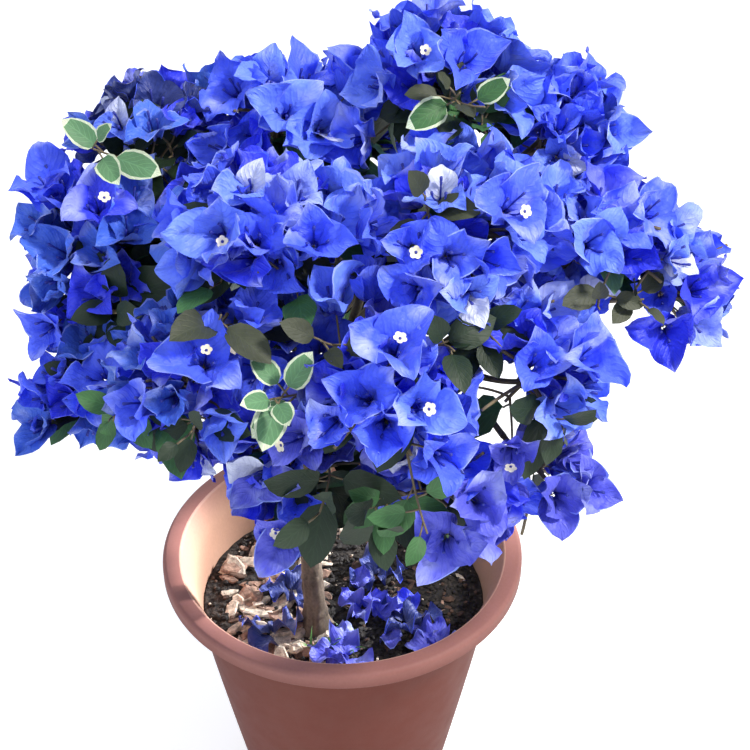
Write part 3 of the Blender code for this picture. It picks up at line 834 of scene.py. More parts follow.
def barkRelief(seed, depth, ridges, stretch, knots):
    # long ridges round the limb, and a swelling at each old leaf scar
    def relief(turn, run):
        spot = Vector((math.cos(turn) * ridges + seed, math.sin(turn) * ridges, run * stretch))
        ridge = noise.noise(spot) + 0.5 * noise.noise(spot * 2.3)
        swelling = math.exp(-(((run % knots) - knots / 2) / knot["width"]) ** 2)
        return 1 + depth * ridge + knot["height"] * swelling
    return relief


def makeBark(name, kind, limbs, nodes):
    # limbs come with the seeds of their reliefs
    bag = newBag()
    for seed, limb in limbs:
        relief = barkRelief(seed, **kind["relief"])
        addTube(bag, limb["fine"]["path"], limb["fine"]["radii"], kind["sides"], relief)
    finish = grainFinish(kind["skin"], kind["bark"]["Dark"], barkRoughness, barkBump, **kind["bark"])
    makePiece(name, bag, [finish], nodes)


def makeLimbs(limbs):
    makeBark("trunkBark", trunk, [(trunk["reliefSeed"], limbs["trunk"])], ["trunk"])
    names = [name for name in limbs if name != "trunk"]
    boughs = [(i, limbs[name]) for i, name in enumerate(names, start=1)]
    makeBark("boughsBark", bough, boughs, ["bough_" + name for name in names])


def newBlade(rows, columns):
    # a grid from the root of a blade to its tip and from side to side: v along it, u across it
    flat = [[(x + 1) / 2, y] for y in rows[:-1] for x in columns] + [[0.5, 1.0]]
    faces = gridFaces(len(rows), len(columns))
    cells = [divmod(i, len(columns) - 1) for i in range(len(faces))]
    sides = (0, len(columns) - 2)
    v, u = np.array(rows)[:, None], np.array(columns)[None, :]
    return {"v": v, "u": u, "faces": faces, "cells": cells, "sides": sides, "map": np.array(flat)}


# three bracts round three thin flower tubes
bract = {
    "rows": (0, 0.04, 0.10, 0.17, 0.25, 0.34, 0.43, 0.52, 0.61, 0.70, 0.79, 0.87, 0.94, 1),
    "columns": (-1, -0.93, -0.74, -0.50, -0.25, 0, 0.25, 0.50, 0.74, 0.93, 1),
    "length": (0.034, 0.045),
    "unlike": (0.92, 1.06),  # the three lengths of a blossom
    "spread": (-0.22, 0.22),  # and their turns round it
    "width": 0.84,  # of its length
    "point": 0.40,  # how much the tip is drawn in
    "rootOut": 0.0016,  # from the blossom's axis
    "rootTilt": (4, 20),  # degrees from the axis, at its root
    "flare": (28, 72),  # and past its middle
    "curl": (-40, 110),  # and how much further its tip turns
    "cup": (-0.22, 0.75),  # how far each side rises
    "fold": (1.0, 2.4),  # 1 folds it along its midrib, 2 bends it round
    "crease": 0.040,
    "wave": (0.06, 0.18),
    "waves": (1.1, 2.4),
    "pucker": 0.034,
    "twist": (-0.40, 0.40),
    "bend": (-0.12, 0.12),
    "rims": 0.40,  # the share of bracts with a pale rim, a painted highlight along the edge
    "faded": 0.022,  # and of those that have faded all over
    "trims": {"deep": ("royal", "deep"), "navy": ("royal", "navy"), "white": ("white", "pale")},
}
bractGrid = newBlade(bract["rows"], bract["columns"])
tube = {
    "length": (0.016, 0.021),
    "opened": 1.15,  # how much longer under an open flower
    "radius": (0.0006, 0.0006, 0.0011),
    "out": 0.0012,
    "lean": (6, 22),
    "knee": (0.6, 0.06),
    "sides": 5,
    "colour": srgb(46, 56, 156),
}
star = {
    "radius": 0.0041,
    "unlike": (0.92, 1.08),
    "share": 0.05,  # of blossoms with an open flower
    "steps": 20,
    "rings": ((0.22, -0.0006), (0.60, 0.0), (1.0, 0.0007)),
    "lobe": (1.0, 0.96, 0.76, 0.96),
    "sunk": 0.0004,
    "petal": srgb(250, 240, 214),
    "heart": srgb(92, 84, 44),
}


def runAlong(grid, tilt, length):
    # how far the middle line of a blade has come along the sine and the cosine of its tilt
    middle = (tilt[1:] + tilt[:-1]) / 2
    step = np.diff(grid["v"], axis=0) * length
    return [np.vstack([[[0.0]], np.cumsum(part(middle) * step, axis=0)]) for part in (np.sin, np.cos)]


def bladePoints(centre, across, flat, normal, lift):
    # rows of points across a blade, with the last row drawn into its tip
    points = centre[:, None, :] + across[:, None, :] * flat[..., None] + normal[:, None, :] * lift[..., None]
    return np.vstack([points[:-1].reshape(-1, 3), points[-1].mean(axis=0)])


def bractShape(rng, wild=1.0):
    return {
        "rootTilt": rng.uniform(*bract["rootTilt"]),
        "flare": rng.uniform(*bract["flare"]),
        "curl": rng.uniform(*bract["curl"]) * wild,
        "cups": (rng.uniform(*bract["cup"]), rng.uniform(*bract["cup"])),
        "fold": rng.uniform(*bract["fold"]),
        "wave": rng.uniform(*bract["wave"]) * wild,
        "waves": rng.uniform(*bract["waves"]),
        "phases": (rng.uniform(0, math.tau), rng.uniform(0, math.tau)),
        "pucker": [rng.uniform(0, math.tau) for _ in range(4)],
        "twist": rng.uniform(*bract["twist"]) * wild,
        "bend": rng.uniform(*bract["bend"]),
    }


def bractPoints(root, axis, radial, length, shape):
    # one papery blade: it leaves the axis steeply, flares out, cups, waves at its edges and curls at its tip
    v, u = bractGrid["v"], bractGrid["u"]
    side = np.cross(axis, radial)
    half = np.sqrt(v) * (1 - v**1.8) * (1 - bract["point"] * v**6)
    half = bract["width"] * length / 2 * np.maximum(half / half.max(), 0.05)
    ease = np.clip(v / 0.55, 0, 1)
    ease = ease * ease * (3 - 2 * ease)
    tilt = shape["rootTilt"] + (shape["flare"] - shape["rootTilt"]) * ease
    tilt = np.radians(tilt + shape["curl"] * np.clip((v - 0.60) / 0.40, 0, 1) ** 1.5)
    out, high = runAlong(bractGrid, tilt, length)
    out = out + bract["rootOut"]
    normal = axis[None, :] * np.sin(tilt) - radial[None, :] * np.cos(tilt)
    turn = shape["twist"] * v
    across = side[None, :] * np.cos(turn) + normal * np.sin(turn)
    normal = normal * np.cos(turn) - side[None, :] * np.sin(turn)
    centre = root[None, :] + radial[None, :] * out + axis[None, :] * high
    centre = centre + side[None, :] * (shape["bend"] * length * v * v)
    edge = np.abs(u)
    phase = np.where(u < 0, *shape["phases"])
    cup = np.where(u < 0, *shape["cups"])
    swell = np.sqrt(np.clip(np.sin(math.pi * v), 0, 1))
    lift = cup * half * edge ** shape["fold"]
    lift = lift + shape["wave"] * length * edge**2 * np.sin(math.tau * shape["waves"] * v + phase) * swell
    lift = lift - bract["crease"] * length * (edge < 0.1) * swell
    a, b, c, d = shape["pucker"]
    wide = np.sin(4.2 * u + 9.0 * v + a) * np.sin(11.0 * v - 3.1 * u + b)
    fine = np.abs(np.sin(5.5 * edge - 8.0 * v + c)) + 0.5 * np.sin(8.0 * u + d) * np.sin(19.0 * v + a)
    lift = lift + bract["pucker"] * length * swell * (wide + 0.8 * fine)
    return bladePoints(centre, across, half * u * (1 - 0.10 * edge), normal, lift)


def bractFinishes(tint, rng):
    # a finish number for each face: body, a dark throat as painted shade at the root and, on some, a pale rim
    # as a painted highlight
    rim, throat = bract["trims"].get(tint, ("rim", "throat"))
    if rng.random() > bract["rims"]:
        rim = tint
    body, rim, throat = (bractTints.index(name) for name in (tint, rim, throat))
    made = []
    for row, column in bractGrid["cells"]:
        edge = column in bractGrid["sides"] and row > 3
        made.append(throat if row < 2 else (rim if edge else body))
    return made


def addBract(bag, root, axis, radial, length, shape, tint, rng):
    points = bractPoints(np.array(root), np.array(axis), np.array(radial), length, shape)
    addPatch(bag, points, bractGrid["faces"], bractFinishes(tint, rng), bractGrid["map"])


def addStar(bag, centre, axis, radius, turn):
    # five blunt lobes round a small dark heart
    across = axis.orthogonal().normalized()
    other = axis.cross(across)
    steps = star["steps"]
    points = []
    for reach, lift in star["rings"]:
        for k in range(steps):
            angle = turn + math.tau * k / steps
            lobe = star["lobe"][k % len(star["lobe"])] if reach == 1 else 1
            flat = (across * math.cos(angle) + other * math.sin(angle)) * radius * reach * lobe
            points.append(centre + flat + axis * lift)
    addPatch(bag, points, ringFaces(len(star["rings"]), steps), 0)
    addPatch(bag, [p - axis * star["sunk"] for p in points[:steps]], [tuple(range(steps))], 1)


def addBlossom(bags, blossom, rng):
    root, axis = blossom["root"], blossom["axis"]
    across = axis.orthogonal().normalized()
    opened = rng.random() < star["share"] if blossom["star"] is None else blossom["star"]
    chosen = rng.randrange(3)
    for i in range(3):
        spin = blossom["spin"] + math.tau * i / 3 + rng.uniform(*bract["spread"])
        radial = Matrix.Rotation(spin, 3, axis) @ across
        length = blossom["length"] * rng.uniform(*bract["unlike"])
        shape = bractShape(rng)
        shape["flare"] *= blossom["open"]
        tint = "bright" if blossom["tint"] == "white" and i else blossom["tint"]
        if blossom["star"] is None and rng.random() < bract["faded"]:
            tint = "white"
        addBract(bags["bracts"], root, axis, radial, length, shape, tint, rng)
        lean = math.radians(rng.uniform(*tube["lean"]))
        way = axis * math.cos(lean) + radial * math.sin(lean)
        foot = root + radial * tube["out"]
        tubeLength = rng.uniform(*tube["length"])
        if opened and i == chosen:
            tubeLength *= tube["opened"]
        end = foot + way * tubeLength
        knee = foot.lerp(end, tube["knee"][0]) + radial * tubeLength * tube["knee"][1]
        addTube(bags["tubes"], [foot, knee, end], tube["radius"], tube["sides"])
        if opened and i == chosen:
            facing = way.normalized()
            size = star["radius"] * rng.uniform(*star["unlike"])
            addStar(bags["stars"], end + facing * star["sunk"], facing, size, spin)


leaf = {
    "rows": (0, 0.10, 0.26, 0.46, 0.66, 0.84, 1),
    "columns": (-1, -0.80, -0.42, 0, 0.42, 0.80, 1),
    "length": (0.028, 0.046),
    "width": 0.62,
    "outline": (0.55, 0.80),
    "stalk": (0.006, 0.011),
    "stalkRadius": 0.0007,
    "droop": (5, 55),
    "bend": (-0.08, 0.08),
    "fold": (0.05, 0.30),
    "wave": (0.01, 0.05),
    "waves": 1.6,
    "clear": 0.008,  # past its tip
    "slack": 0.010,  # and round a space that stays open
    "creamRims": 0.04,  # the share of leaves with a cream rim
}
leafGrid = newBlade(leaf["rows"], leaf["columns"])


def addLeaf(bags, place, ahead, face, length, tint, rng, edgeTint=None):
    ahead = ahead.normalized()
    face = (face - ahead * face.dot(ahead)).normalized()
    root = place + ahead * rng.uniform(*leaf["stalk"])
    stalk = [place, place.lerp(root, 0.6) + face * 0.0004, root]
    addTube(bags["twigs"], stalk, [leaf["stalkRadius"]] * 3, 4)
    v, u = leafGrid["v"], leafGrid["u"]
    half = v ** leaf["outline"][0] * (1 - v) ** leaf["outline"][1]
    half = leaf["width"] * length / 2 * np.maximum(half / half.max(), 0.04)
    tilt = math.radians(rng.uniform(*leaf["droop"])) * (v - 0.15)
    down, out = runAlong(leafGrid, tilt, length)
    forward, high = np.array(ahead), np.array(face)
    side = np.cross(forward, high)
    normal = high[None, :] * np.cos(tilt) + forward[None, :] * np.sin(tilt)
    centre = np.array(root)[None, :] + forward[None, :] * out - high[None, :] * down
    centre = centre + side[None, :] * (rng.uniform(*leaf["bend"]) * length * v * v)
    edge = np.abs(u)
    lift = rng.uniform(*leaf["fold"]) * half * edge
    phase = rng.uniform(0, math.tau)
    ripple = np.sin(math.tau * leaf["waves"] * v + phase + 2.0 * np.sign(u))
    lift = lift + rng.uniform(*leaf["wave"]) * length * edge * ripple
    points = bladePoints(centre, side[None, :], half * u, normal, lift)
    finishes = []
    for row, column in leafGrid["cells"]:
        rim = edgeTint and (column in leafGrid["sides"] or row == len(leaf["rows"]) - 2)
        finishes.append(leafTints.index(edgeTint if rim else tint))
    addPatch(bags["leaves"], points, leafGrid["faces"], finishes, leafGrid["map"])


# the rule of the masses, carried on to finer twigs
growth = {
    "shoots": 7,
    "tries": 250,
    "apart": 0.035,  # between the ends of two shoots
    "inward": -0.35,  # no shoot points further into the crown than this
    "reach": (0.36, 0.84),
    "stemReach": 0.10,
    "stemFeet": (0.45, 0.95),
    "arch": (0.10, 0.12),
    "stemRadius": (0.0021, 0.0017),
    "shootRadius": (0.0016, 0.0011),
    "twigRadius": (0.0010, 0.0007),
    # tries, reach within the mass, spacing of hearts, how open, how much of a bract must be free, and size
    "passes": (
        (1900, (0.50, 0.82), 0.0265, (0.72, 1.14), 0.52, 1.0),
        (3000, (0.30, 0.85), 0.0225, (0.50, 0.96), 0.43, 0.92),
        (1200, (0.05, 0.70), 0.0235, (0.50, 0.80), 0.42, 0.88),
    ),
    "bloomSeed": 1000,
    "heart": 0.018,  # how far up its axis a blossom's heart is
    "lean": (0.45, 0.30, 0.35),  # how much a blossom turns out of the crown, up, and at random
    "lowest": -0.42,  # no blossom hangs under its mass; leaves do
    "slack": 0.004,  # how far past a parting plane a blossom or a leaf may start
    "near": 0.08,
    "left": -0.09,  # blossoms are smaller left of this
    "leftSize": 0.90,
    "leavesPerTwig": 0.8,
    "twig": srgb(118, 104, 76),
    "inside": 0.35,  # how far out the deepest tints, painted shade inside the crown, reach
    # up to each number a tint is drawn; deep and navy are painted shade, bright and pale on top painted light
    "tints": {
        "inside": ((0.5, "deep"), (1, "royal")),
        "shade": ((0.6, "navy"), (1, "deep")),
        "left": ((0.62, "teal"), (0.80, "deep"), (1, "royal")),
        "low": ((0.45, "violet"), (0.7, "deep"), (1, "royal")),
        "top": ((0.42, "bright"), (0.50, "pale"), (1, "royal")),
        "rest": ((0.6, "royal"), (0.8, "bright"), (1, "violet")),
    },
}
# a blossom as six triangles: how far its bracts lean, and where and how wide they are widest
proxy = {"lean": 50, "widest": 0.5, "half": 0.36}


def shootAim(mass, rng):
    while True:
        aim = Vector([rng.gauss(0, 1) for _ in range(3)]).normalized()
        if aim.dot(mass["outward"]) > growth["inward"]:
            return aim


def shootPath(mass, stem, aim, rng):
    end = placeIn(mass, aim, rng.uniform(*growth["reach"]))
    foot, run, _ = along(stem, rng.uniform(*growth["stemFeet"]))
    knee = foot.lerp(end, 0.5) + (up * growth["arch"][0] + run * growth["arch"][1]) * (end - foot).length
    return [foot, knee, end]


def smoothPath(path, steps):
    # a curve from the first point to the last that bends towards the one between them
    return bezier(path[0], path[0].lerp(path[1], 0.67), path[2].lerp(path[1], 0.67), path[2], steps)


def addTwigTube(bags, path, kind, sides):
    addTube(bags["twigs"], path, taper(*growth[kind + "Radius"], len(path)), sides)


def chooseTint(point, mass, rng):
    # painted shade deep inside, in the back shade, and in deeper tints on the shaded left and low down;
    # bluer green on the left and violet low down, and painted light in the brightest tints on top and on the
    # right
    x, y, z = point
    if howFarOut(mass, point) < growth["inside"]:
        place = "inside"
    elif x < -0.10 and y > 0.08 and z > 0.52:
        place = "shade"
    elif x < -0.09:
        place = "left"
    elif z < 0.47:
        place = "low"
    elif z > 0.53 or x > 0.12:
        place = "top"
    else:
        place = "rest"
    roll = rng.random()
    return next(tint for most, tint in growth["tints"][place] if roll < most)


def blossomProxy(blossom, share):
    # two triangles for each bract, to keep blossoms out of each other
    points, faces = [], []
    root, axis, length = blossom["root"], blossom["axis"], blossom["length"]
    across = axis.orthogonal().normalized()
    lean = math.radians(proxy["lean"] * blossom["open"])
    for i in range(3):
        radial = Matrix.Rotation(blossom["spin"] + math.tau * i / 3, 3, axis) @ across
        way = (axis * math.cos(lean) + radial * math.sin(lean)) * length * share
        wide = axis.cross(radial) * length * share * proxy["half"]
        first = len(points)
        half = root + way * proxy["widest"]
        points += [root, half - wide, root + way, half + wide]
        faces += [(first, first + 1, first + 2), (first, first + 2, first + 3)]
    return points, faces


def nearBlossoms(grown, point, reach):
    # the numbers of the blossoms whose hearts are this near
    placed = grown["hearts"][: len(grown["blossoms"])]
    d = placed - (point.x, point.y, point.z)
    return np.nonzero((d * d).sum(axis=1) < reach * reach)[0]


def meets(tree, grown, near, share):
    # whether anything in the tree meets one of these blossoms
    points, faces = [], []
    for i in near:
        more, theirs = blossomProxy(grown["blossoms"][i], share)
        faces += [tuple(len(points) + k for k in face) for face in theirs]
        points += more
    return bool(points) and bool(BVHTree.FromPolygons(points, faces).overlap(tree))


def roomFor(blossom, spacing, free, grown, masses, limbTree):
    # where its heart would be, or None where it would not fit
    heart = blossom["root"] + blossom["axis"] * growth["heart"]
    if len(nearBlossoms(grown, heart, spacing)):
        return None
    points = blossomProxy(blossom, 1.0)[0]
    if any(outsideAll(masses, tip, crown["tips"]) for tip in points[2::4]):
        return None
    if any(inClearing(p, ("open", "leafy")) for p in points + [heart]):
        return None
    tree = BVHTree.FromPolygons(*blossomProxy(blossom, free))
    near = nearBlossoms(grown, heart, growth["near"])
    if limbTree.overlap(tree) or meets(tree, grown, near, free):
        return None
    return heart


def growMass(mass, limbs, bags):
    limb = limbs[mass["name"]]
    start = limb["path"][-1]
    middle = mass["centre"] + mass["outward"] * growth["stemReach"] * mass["size"]
    knee = start + along(limb, 1)[1] * (middle - start).length / 2
    stem = {"path": [start, knee, middle], "radii": [growth["stemRadius"][0]] * 2 + [growth["stemRadius"][1]]}
    addTwigTube(bags, smoothPath(stem["path"], 8), "stem", 8)
    rng = random.Random(mass["seed"])
    mass["shoots"] = []
    for _ in range(growth["tries"]):
        path = shootPath(mass, stem, shootAim(mass, rng), rng)
        if not all(inSpace(mass, p) for p in path[1:]):
            continue
        if any((path[2] - other[-1]).length < growth["apart"] for other in mass["shoots"]):
            continue
        mass["shoots"].append(smoothPath(path, 10))
        if len(mass["shoots"]) == growth["shoots"]:
            break
    for shoot in mass["shoots"]:
        addTwigTube(bags, shoot, "shoot", 6)


def addToCrown(blossom, heart, mass, grown, bags, rng):
    grown["hearts"][len(grown["blossoms"])] = heart
    grown["blossoms"].append(blossom)
    addBlossom(dict(bags, bracts=bags[mass["region"]]), blossom, rng)
    # its twig comes from the nearest shoot, and arrives along its axis
    root, axis = blossom["root"], blossom["axis"]
    foot = nearest([p for shoot in mass["shoots"] for p in shoot[2:9]], root - axis * 0.02)
    span = (root - foot).length
    first = foot.lerp(root, 0.35) + up * span * 0.10
    path = bezier(foot, first, root - axis * min(span * 0.4, growth["heart"]), root, 6)
    addTwigTube(bags, path, "twig", 5)
    grown["twigs"].append((mass, path))


placing = {
    "seed": 3,
    "seen": 0.7,  # how much a blossom turns to the viewer
    "up": 0.1,
    "open": (0.9, 1.15),
}
tuft = {
    "scatter": (0.5, 0.3),
    "rise": 0.55,  # how far its twig goes on, in leaf lengths
    "spiral": 137.5,  # degrees from each leaf to the next
    "stray": 35,
    "lean": (84, 62, 14),  # degrees of the first, less for the last, and at random
    "sizes": (1.1, 0.55),
    "unlike": (0.8, 1.2),
}


def plantBlossom(row, opened, masses, grown, bags, rng):
    place, tint, turn, length = row
    place = metres(place)
    mass = nearestMass(masses, place)
    toCamera = Vector(camera["place"]).normalized()
    axis = (place - mass["centre"]).normalized() + toCamera * placing["seen"] + up * placing["up"]
    axis = axis.normalized()
    blossom = {
        "root": place - axis * growth["heart"],
        "axis": axis,
        "spin": math.radians(turn),
        "length": length / 1000,
        "open": rng.uniform(*placing["open"]),
        "star": opened,
        "tint": tint,
    }
    addToCrown(blossom, place, mass, grown, bags, rng)


def plantTuft(row, masses, bags, rng):
    place, facing, count, length, tint, rimTint = row
    place, facing, length = metres(place), Vector(facing).normalized(), length / 1000
    shoots = nearestMass(masses, place)["shoots"]
    foot = nearest([p for shoot in shoots for p in shoot[2:9]], place)
    scatter = Vector([rng.uniform(-1, 1) for _ in range(3)])
    tip = place + (facing + scatter * tuft["scatter"][0]).normalized() * length * tuft["rise"]
    path = bezier(foot, foot.lerp(place, 0.4) + up * 0.004, place - facing * 0.012, tip, 8)
    addTwigTube(bags, path, "twig", 5)
    across = facing.orthogonal().normalized()
    face = facing + up * 0.4 + scatter * tuft["scatter"][1]
    first, less, stray = tuft["lean"]
    for i in range(count):
        turn = tuft["spiral"] * i + rng.uniform(-tuft["stray"], tuft["stray"])
        turn = Matrix.Rotation(math.radians(turn), 3, facing)
        lean = math.radians(first - less * i / count + rng.uniform(-stray, stray))
        way = facing * math.cos(lean) + (turn @ across) * math.sin(lean) - up * 0.1
        size = length * (tuft["sizes"][0] - tuft["sizes"][1] * i / count) * rng.uniform(*tuft["unlike"])
        addLeaf(bags, path[min(4 + (i * 5) // count, 8)], way, face, size, tint, rng, rimTint)


def plantPlaced(masses, grown, bags):
    # the blossoms and tufts of leaves that have places of their own
    rng = random.Random(placing["seed"])
    for opened, rows in placedBlossoms.items():
        for row in rows:
            plantBlossom(row, opened, masses, grown, bags, rng)
    for row in placedTufts:
        plantTuft(row, masses, bags, rng)


def bloomMass(mass, masses, grown, bags, limbTree):
    rng = random.Random(mass["seed"] + growth["bloomSeed"])
    for tries, within, spacing, opening, free, size in growth["passes"]:
        for _ in range(tries):
            aim = shootAim(mass, rng)
            if aim.z < growth["lowest"]:
                continue
            root = placeIn(mass, aim, rng.uniform(*within))
            if not inSpace(mass, root, growth["slack"]):
                continue
            scatter = Vector([rng.gauss(0, 1) for _ in range(3)]).normalized()
            lean = growth["lean"]
            axis = (aim + mass["outward"] * lean[0] + up * lean[1] + scatter * lean[2]).normalized()
            smaller = growth["leftSize"] if root.x < growth["left"] else 1
            blossom = {
                "root": root,
                "axis": axis,
                "spin": rng.uniform(0, math.tau),
                "length": rng.uniform(*bract["length"]) * size * smaller,
                "open": rng.uniform(*opening),
                "star": None,
                "tint": chooseTint(root, mass, rng),
            }
            heart = roomFor(blossom, spacing, free, grown, masses, limbTree)
            if heart is not None:
                addToCrown(blossom, heart, mass, grown, bags, rng)


# leaves beside blossoms, under a mass and in its shade: how many in a mass, how far out they start, how far
# their tips may reach, their size, and the weights of their tints
leafKinds = {
    "twig": {"reach": 0.95, "tints": {"dark": 0.46, "mid": 0.30, "olive": 0.18, "light": 0.06}},
    "skirt": {
        "count": 16,
        "out": (0.45, 0.78),
        "reach": 0.97,
        "size": 0.80,
        "tints": {"dark": 0.55, "mid": 0.30, "olive": 0.15},
    },
    "shade": {"count": 26, "reach": 0.92, "size": 1.2, "tints": ("dark", "dark", "mid", "olive")},
}
room = {  # between a leaf and the blossoms near it
    "half": 0.26,  # of the leaf's length, on each side
    "shares": (0.3, 0.6, 1.0),  # the places along it that keep out of a throat
    "throat": 0.020,
    "high": 0.006,  # how far up from the heart a throat is
    "near": 0.07,
    "free": 0.85,
}


def leafFits(place, way, length, kind, masses, grown):
    # within the crown and its spaces, and clear of the open side of every blossom near it
    tip = place + way * (length + leaf["clear"])
    if outsideAll(masses, tip, leafKinds[kind]["reach"]) or inClearing(tip, ("open",), leaf["slack"]):
        return False
    tip = place + way * length
    wide = way.cross(up).normalized() * length * room["half"]
    middle = place.lerp(tip, 0.55)
    near = nearBlossoms(grown, middle, room["near"])
    for i in near:
        throat = Vector(grown["hearts"][i]) + grown["blossoms"][i]["axis"] * room["high"]
        if any((place.lerp(tip, share) - throat).length < room["throat"] for share in room["shares"]):
            return False
    blade = [place + way * room["high"], middle - wide, tip, middle + wide]
    tree = BVHTree.FromPolygons(blade, [(0, 1, 2), (0, 2, 3)])
    return not meets(tree, grown, near, room["free"])


def leafTint(kind, rng):
    tints = leafKinds[kind]["tints"]
    return rng.choices(list(tints), tints.values())[0]


def growTwigLeaves(mass, path, grown, masses, bags, rng):
    wanted = int(growth["leavesPerTwig"] + rng.random())
    grownHere = 0
    for _ in range(wanted * 5):
        if grownHere == wanted:
            break
        i = rng.randrange(1, 6)
        ahead = (path[i + 1] - path[i]).normalized()
        side = Matrix.Rotation(rng.uniform(0, math.tau), 3, ahead) @ ahead.orthogonal().normalized()
        way = (side + ahead * rng.uniform(0.2, 0.9) + up * rng.uniform(-0.5, 0.2)).normalized()
        length = rng.uniform(*leaf["length"])
        if not leafFits(path[i], way, length, "twig", masses, grown):
            continue
        tint = leafTint("twig", rng)
        edgeTint = "cream" if rng.random() < leaf["creamRims"] else None
        addLeaf(bags, path[i], way, up + mass["outward"] * 0.7, length, tint, rng, edgeTint)
        grownHere += 1
    return grownHere


def growSkirtLeaf(mass, grown, masses, bags, rng):
    aim = shootAim(mass, rng)
    aim.z = -abs(aim.z)
    out = Vector([aim[i] * mass["half"][i] * rng.uniform(*leafKinds["skirt"]["out"]) for i in range(3)])
    root = mass["centre"] + out
    if not inSpace(mass, root, growth["slack"]):
        return 0
    way = (aim + mass["outward"] * 0.6 + Vector((0, 0, rng.uniform(-0.5, 0.3)))).normalized()
    length = rng.uniform(*leaf["length"]) * leafKinds["skirt"]["size"]
    if not leafFits(root, way, length, "skirt", masses, grown):
        return 0
    foot = nearest([p for shoot in mass["shoots"] for p in shoot[3:10]], root)
    path = bezier(foot, foot.lerp(root, 0.4) + up * 0.003, root - way * 0.006, root, 5)
    addTwigTube(bags, path, "twig", 4)
    addLeaf(bags, root, way, up + mass["outward"] * 0.9, length, leafTint("skirt", rng), rng)
    return 1


def growShadeLeaf(mass, grown, masses, bags, rng):
    place = rng.choice([p for shoot in mass["shoots"] for p in shoot[1:7]])
    way = Vector((rng.gauss(0, 1), rng.gauss(0, 1), rng.gauss(0, 0.35))).normalized()
    length = rng.uniform(*leaf["length"]) * leafKinds["shade"]["size"]
    if not leafFits(place, way, length, "shade", masses, grown):
        return 0
    addLeaf(bags, place, way, up, length, rng.choice(leafKinds["shade"]["tints"]), rng)
    return 1


def growLeaves(grown, masses, bags):
    rng = random.Random(crown["seed"])
    count = sum(growTwigLeaves(mass, path, grown, masses, bags, rng) for mass, path in grown["twigs"])
    for mass in masses:
        for kind, grow in (("skirt", growSkirtLeaf), ("shade", growShadeLeaf)):
            count += sum(grow(mass, grown, masses, bags, rng) for _ in range(leafKinds[kind]["count"]))
    print("leaves:", count)


def limbSpace(limbs):
    bag = newBag()
    for limb in limbs.values():
        addTube(bag, limb["path"], [r + 0.001 for r in limb["radii"]], 6)
    return BVHTree.FromPolygons([Vector(p) for p in np.concatenate(bag["points"])], bag["faces"])


def makeCrown(masses, limbs):
    limbTree = limbSpace(limbs)
    grown = {"hearts": np.zeros((4000, 3)), "blossoms": [], "twigs": []}
    bags = {name: newBag() for name in ("twigs", "leaves", "tubes", "stars", *regions)}
    for mass in masses:
        growMass(mass, limbs, bags)
    plantPlaced(masses, grown, bags)
    for mass in masses:
        bloomMass(mass, masses, grown, bags, limbTree)
    print("blossoms:", len(grown["blossoms"]))
    growLeaves(grown, masses, bags)
    paints = [bractFinish(tint) for tint in bractTints]
    for region in regions:
        own = ["mass_" + mass["name"] for mass in masses if mass["region"] == region]
        makePiece("bracts_" + region, bags[region], paints, own)
    nodes = ["mass_" + mass["name"] for mass in masses]
    makePiece("leaves", bags["leaves"], [leafFinish(t) for t in leafTints], nodes)
    skin = softFinish("twigSkin", growth["twig"], 0.6, 120.0, 0.35)
    makePiece("twigs", bags["twigs"], [skin], nodes)
    skin = softFinish("tubeSkin", tube["colour"], 0.5, 200.0, 0.25)
    makePiece("flowerTubes", bags["tubes"], [skin], nodes)
    petal = softFinish("starPetal", star["petal"], 0.5, 300.0, 0.06)
    heart = softFinish("starHeart", star["heart"], 0.6, 500.0, 0.3)
    makePiece("starFlowers", bags["stars"], [petal, heart], nodes)


pot = {
    "height": 0.255,
    "steps": 160,
    "rimRadius": 0.142,
    "lipWidth": 0.015,
    "lipDepth": 0.013,
    "lipInside": 0.8,  # how far down the inside it reaches, of its depth
    "lipRounds": (0.0018, 0.0042, 0.0026),  # under it, outside and inside
    "lipDrop": 0.0032,
    "bodyRadius": 0.1255,
    "bodyTaper": 0.16,
    "bodyCurve": 0.08,
    "rings": 26,
    "insideArc": 5,
    "wall": 0.003,
    "footRound": 0.003,
    "drainRadius": 0.0055,
    "drainRing": 0.052,
    "drains": 5,
    "sharp": 50,
    "colour": srgb(108, 48, 34),
    # the lip paler in patches: partly faded plastic, partly painted light on the lip's top
    "faded": srgb(200, 148, 141),
    "fadedFrom": 0.235,
    "fadedTo": 0.256,
    "fadedMost": 0.55,
    "scuff": srgb(98, 54, 44),
    # the inside much paler than the outside: painted sunlight on the inner wall and painted highlight on the
    # lip's inner round
    "inside": srgb(206, 164, 140),
}


def bodyRadius(depth):
    return pot["bodyRadius"] - pot["bodyTaper"] * depth - pot["bodyCurve"] * depth * depth


def arc(centre, radius, first, last, steps):
    made = []
    for i in range(steps + 1):
        turn = math.radians(first + (last - first) * i / steps)
        made.append((centre[0] + radius * math.cos(turn), centre[1] + radius * math.sin(turn)))
    return made


def potProfile():
    # from the foot's outer edge up the body, round the lip and down the inside to the floor
    height, wall, lipDepth, rings = pot["height"], pot["wall"], pot["lipDepth"], pot["rings"]
    footRound = pot["footRound"]
    profile = arc((bodyRadius(height) - footRound, footRound), footRound, -90, 0, 5)
    for i in range(1, rings + 1):
        depth = height - footRound - (height - footRound - lipDepth) * i / rings
        profile.append((bodyRadius(depth), height - depth))
    outer, inner = pot["rimRadius"], pot["rimRadius"] - pot["lipWidth"]
    under, over, within = pot["lipRounds"]
    profile += arc((outer - under, height - lipDepth + under), under, -90, 0, 4)
    profile += arc((outer - over, height - over), over, 0, 78, 6)
    profile += arc((inner + within, height - pot["lipDrop"]), within, 102, 180, pot["insideArc"])
    low = lipDepth * pot["lipInside"]
    for i in range(1, rings + 1):
        depth = low + (height - low - wall) * i / rings
        profile.append((bodyRadius(depth) - wall, height - depth))
    return profile


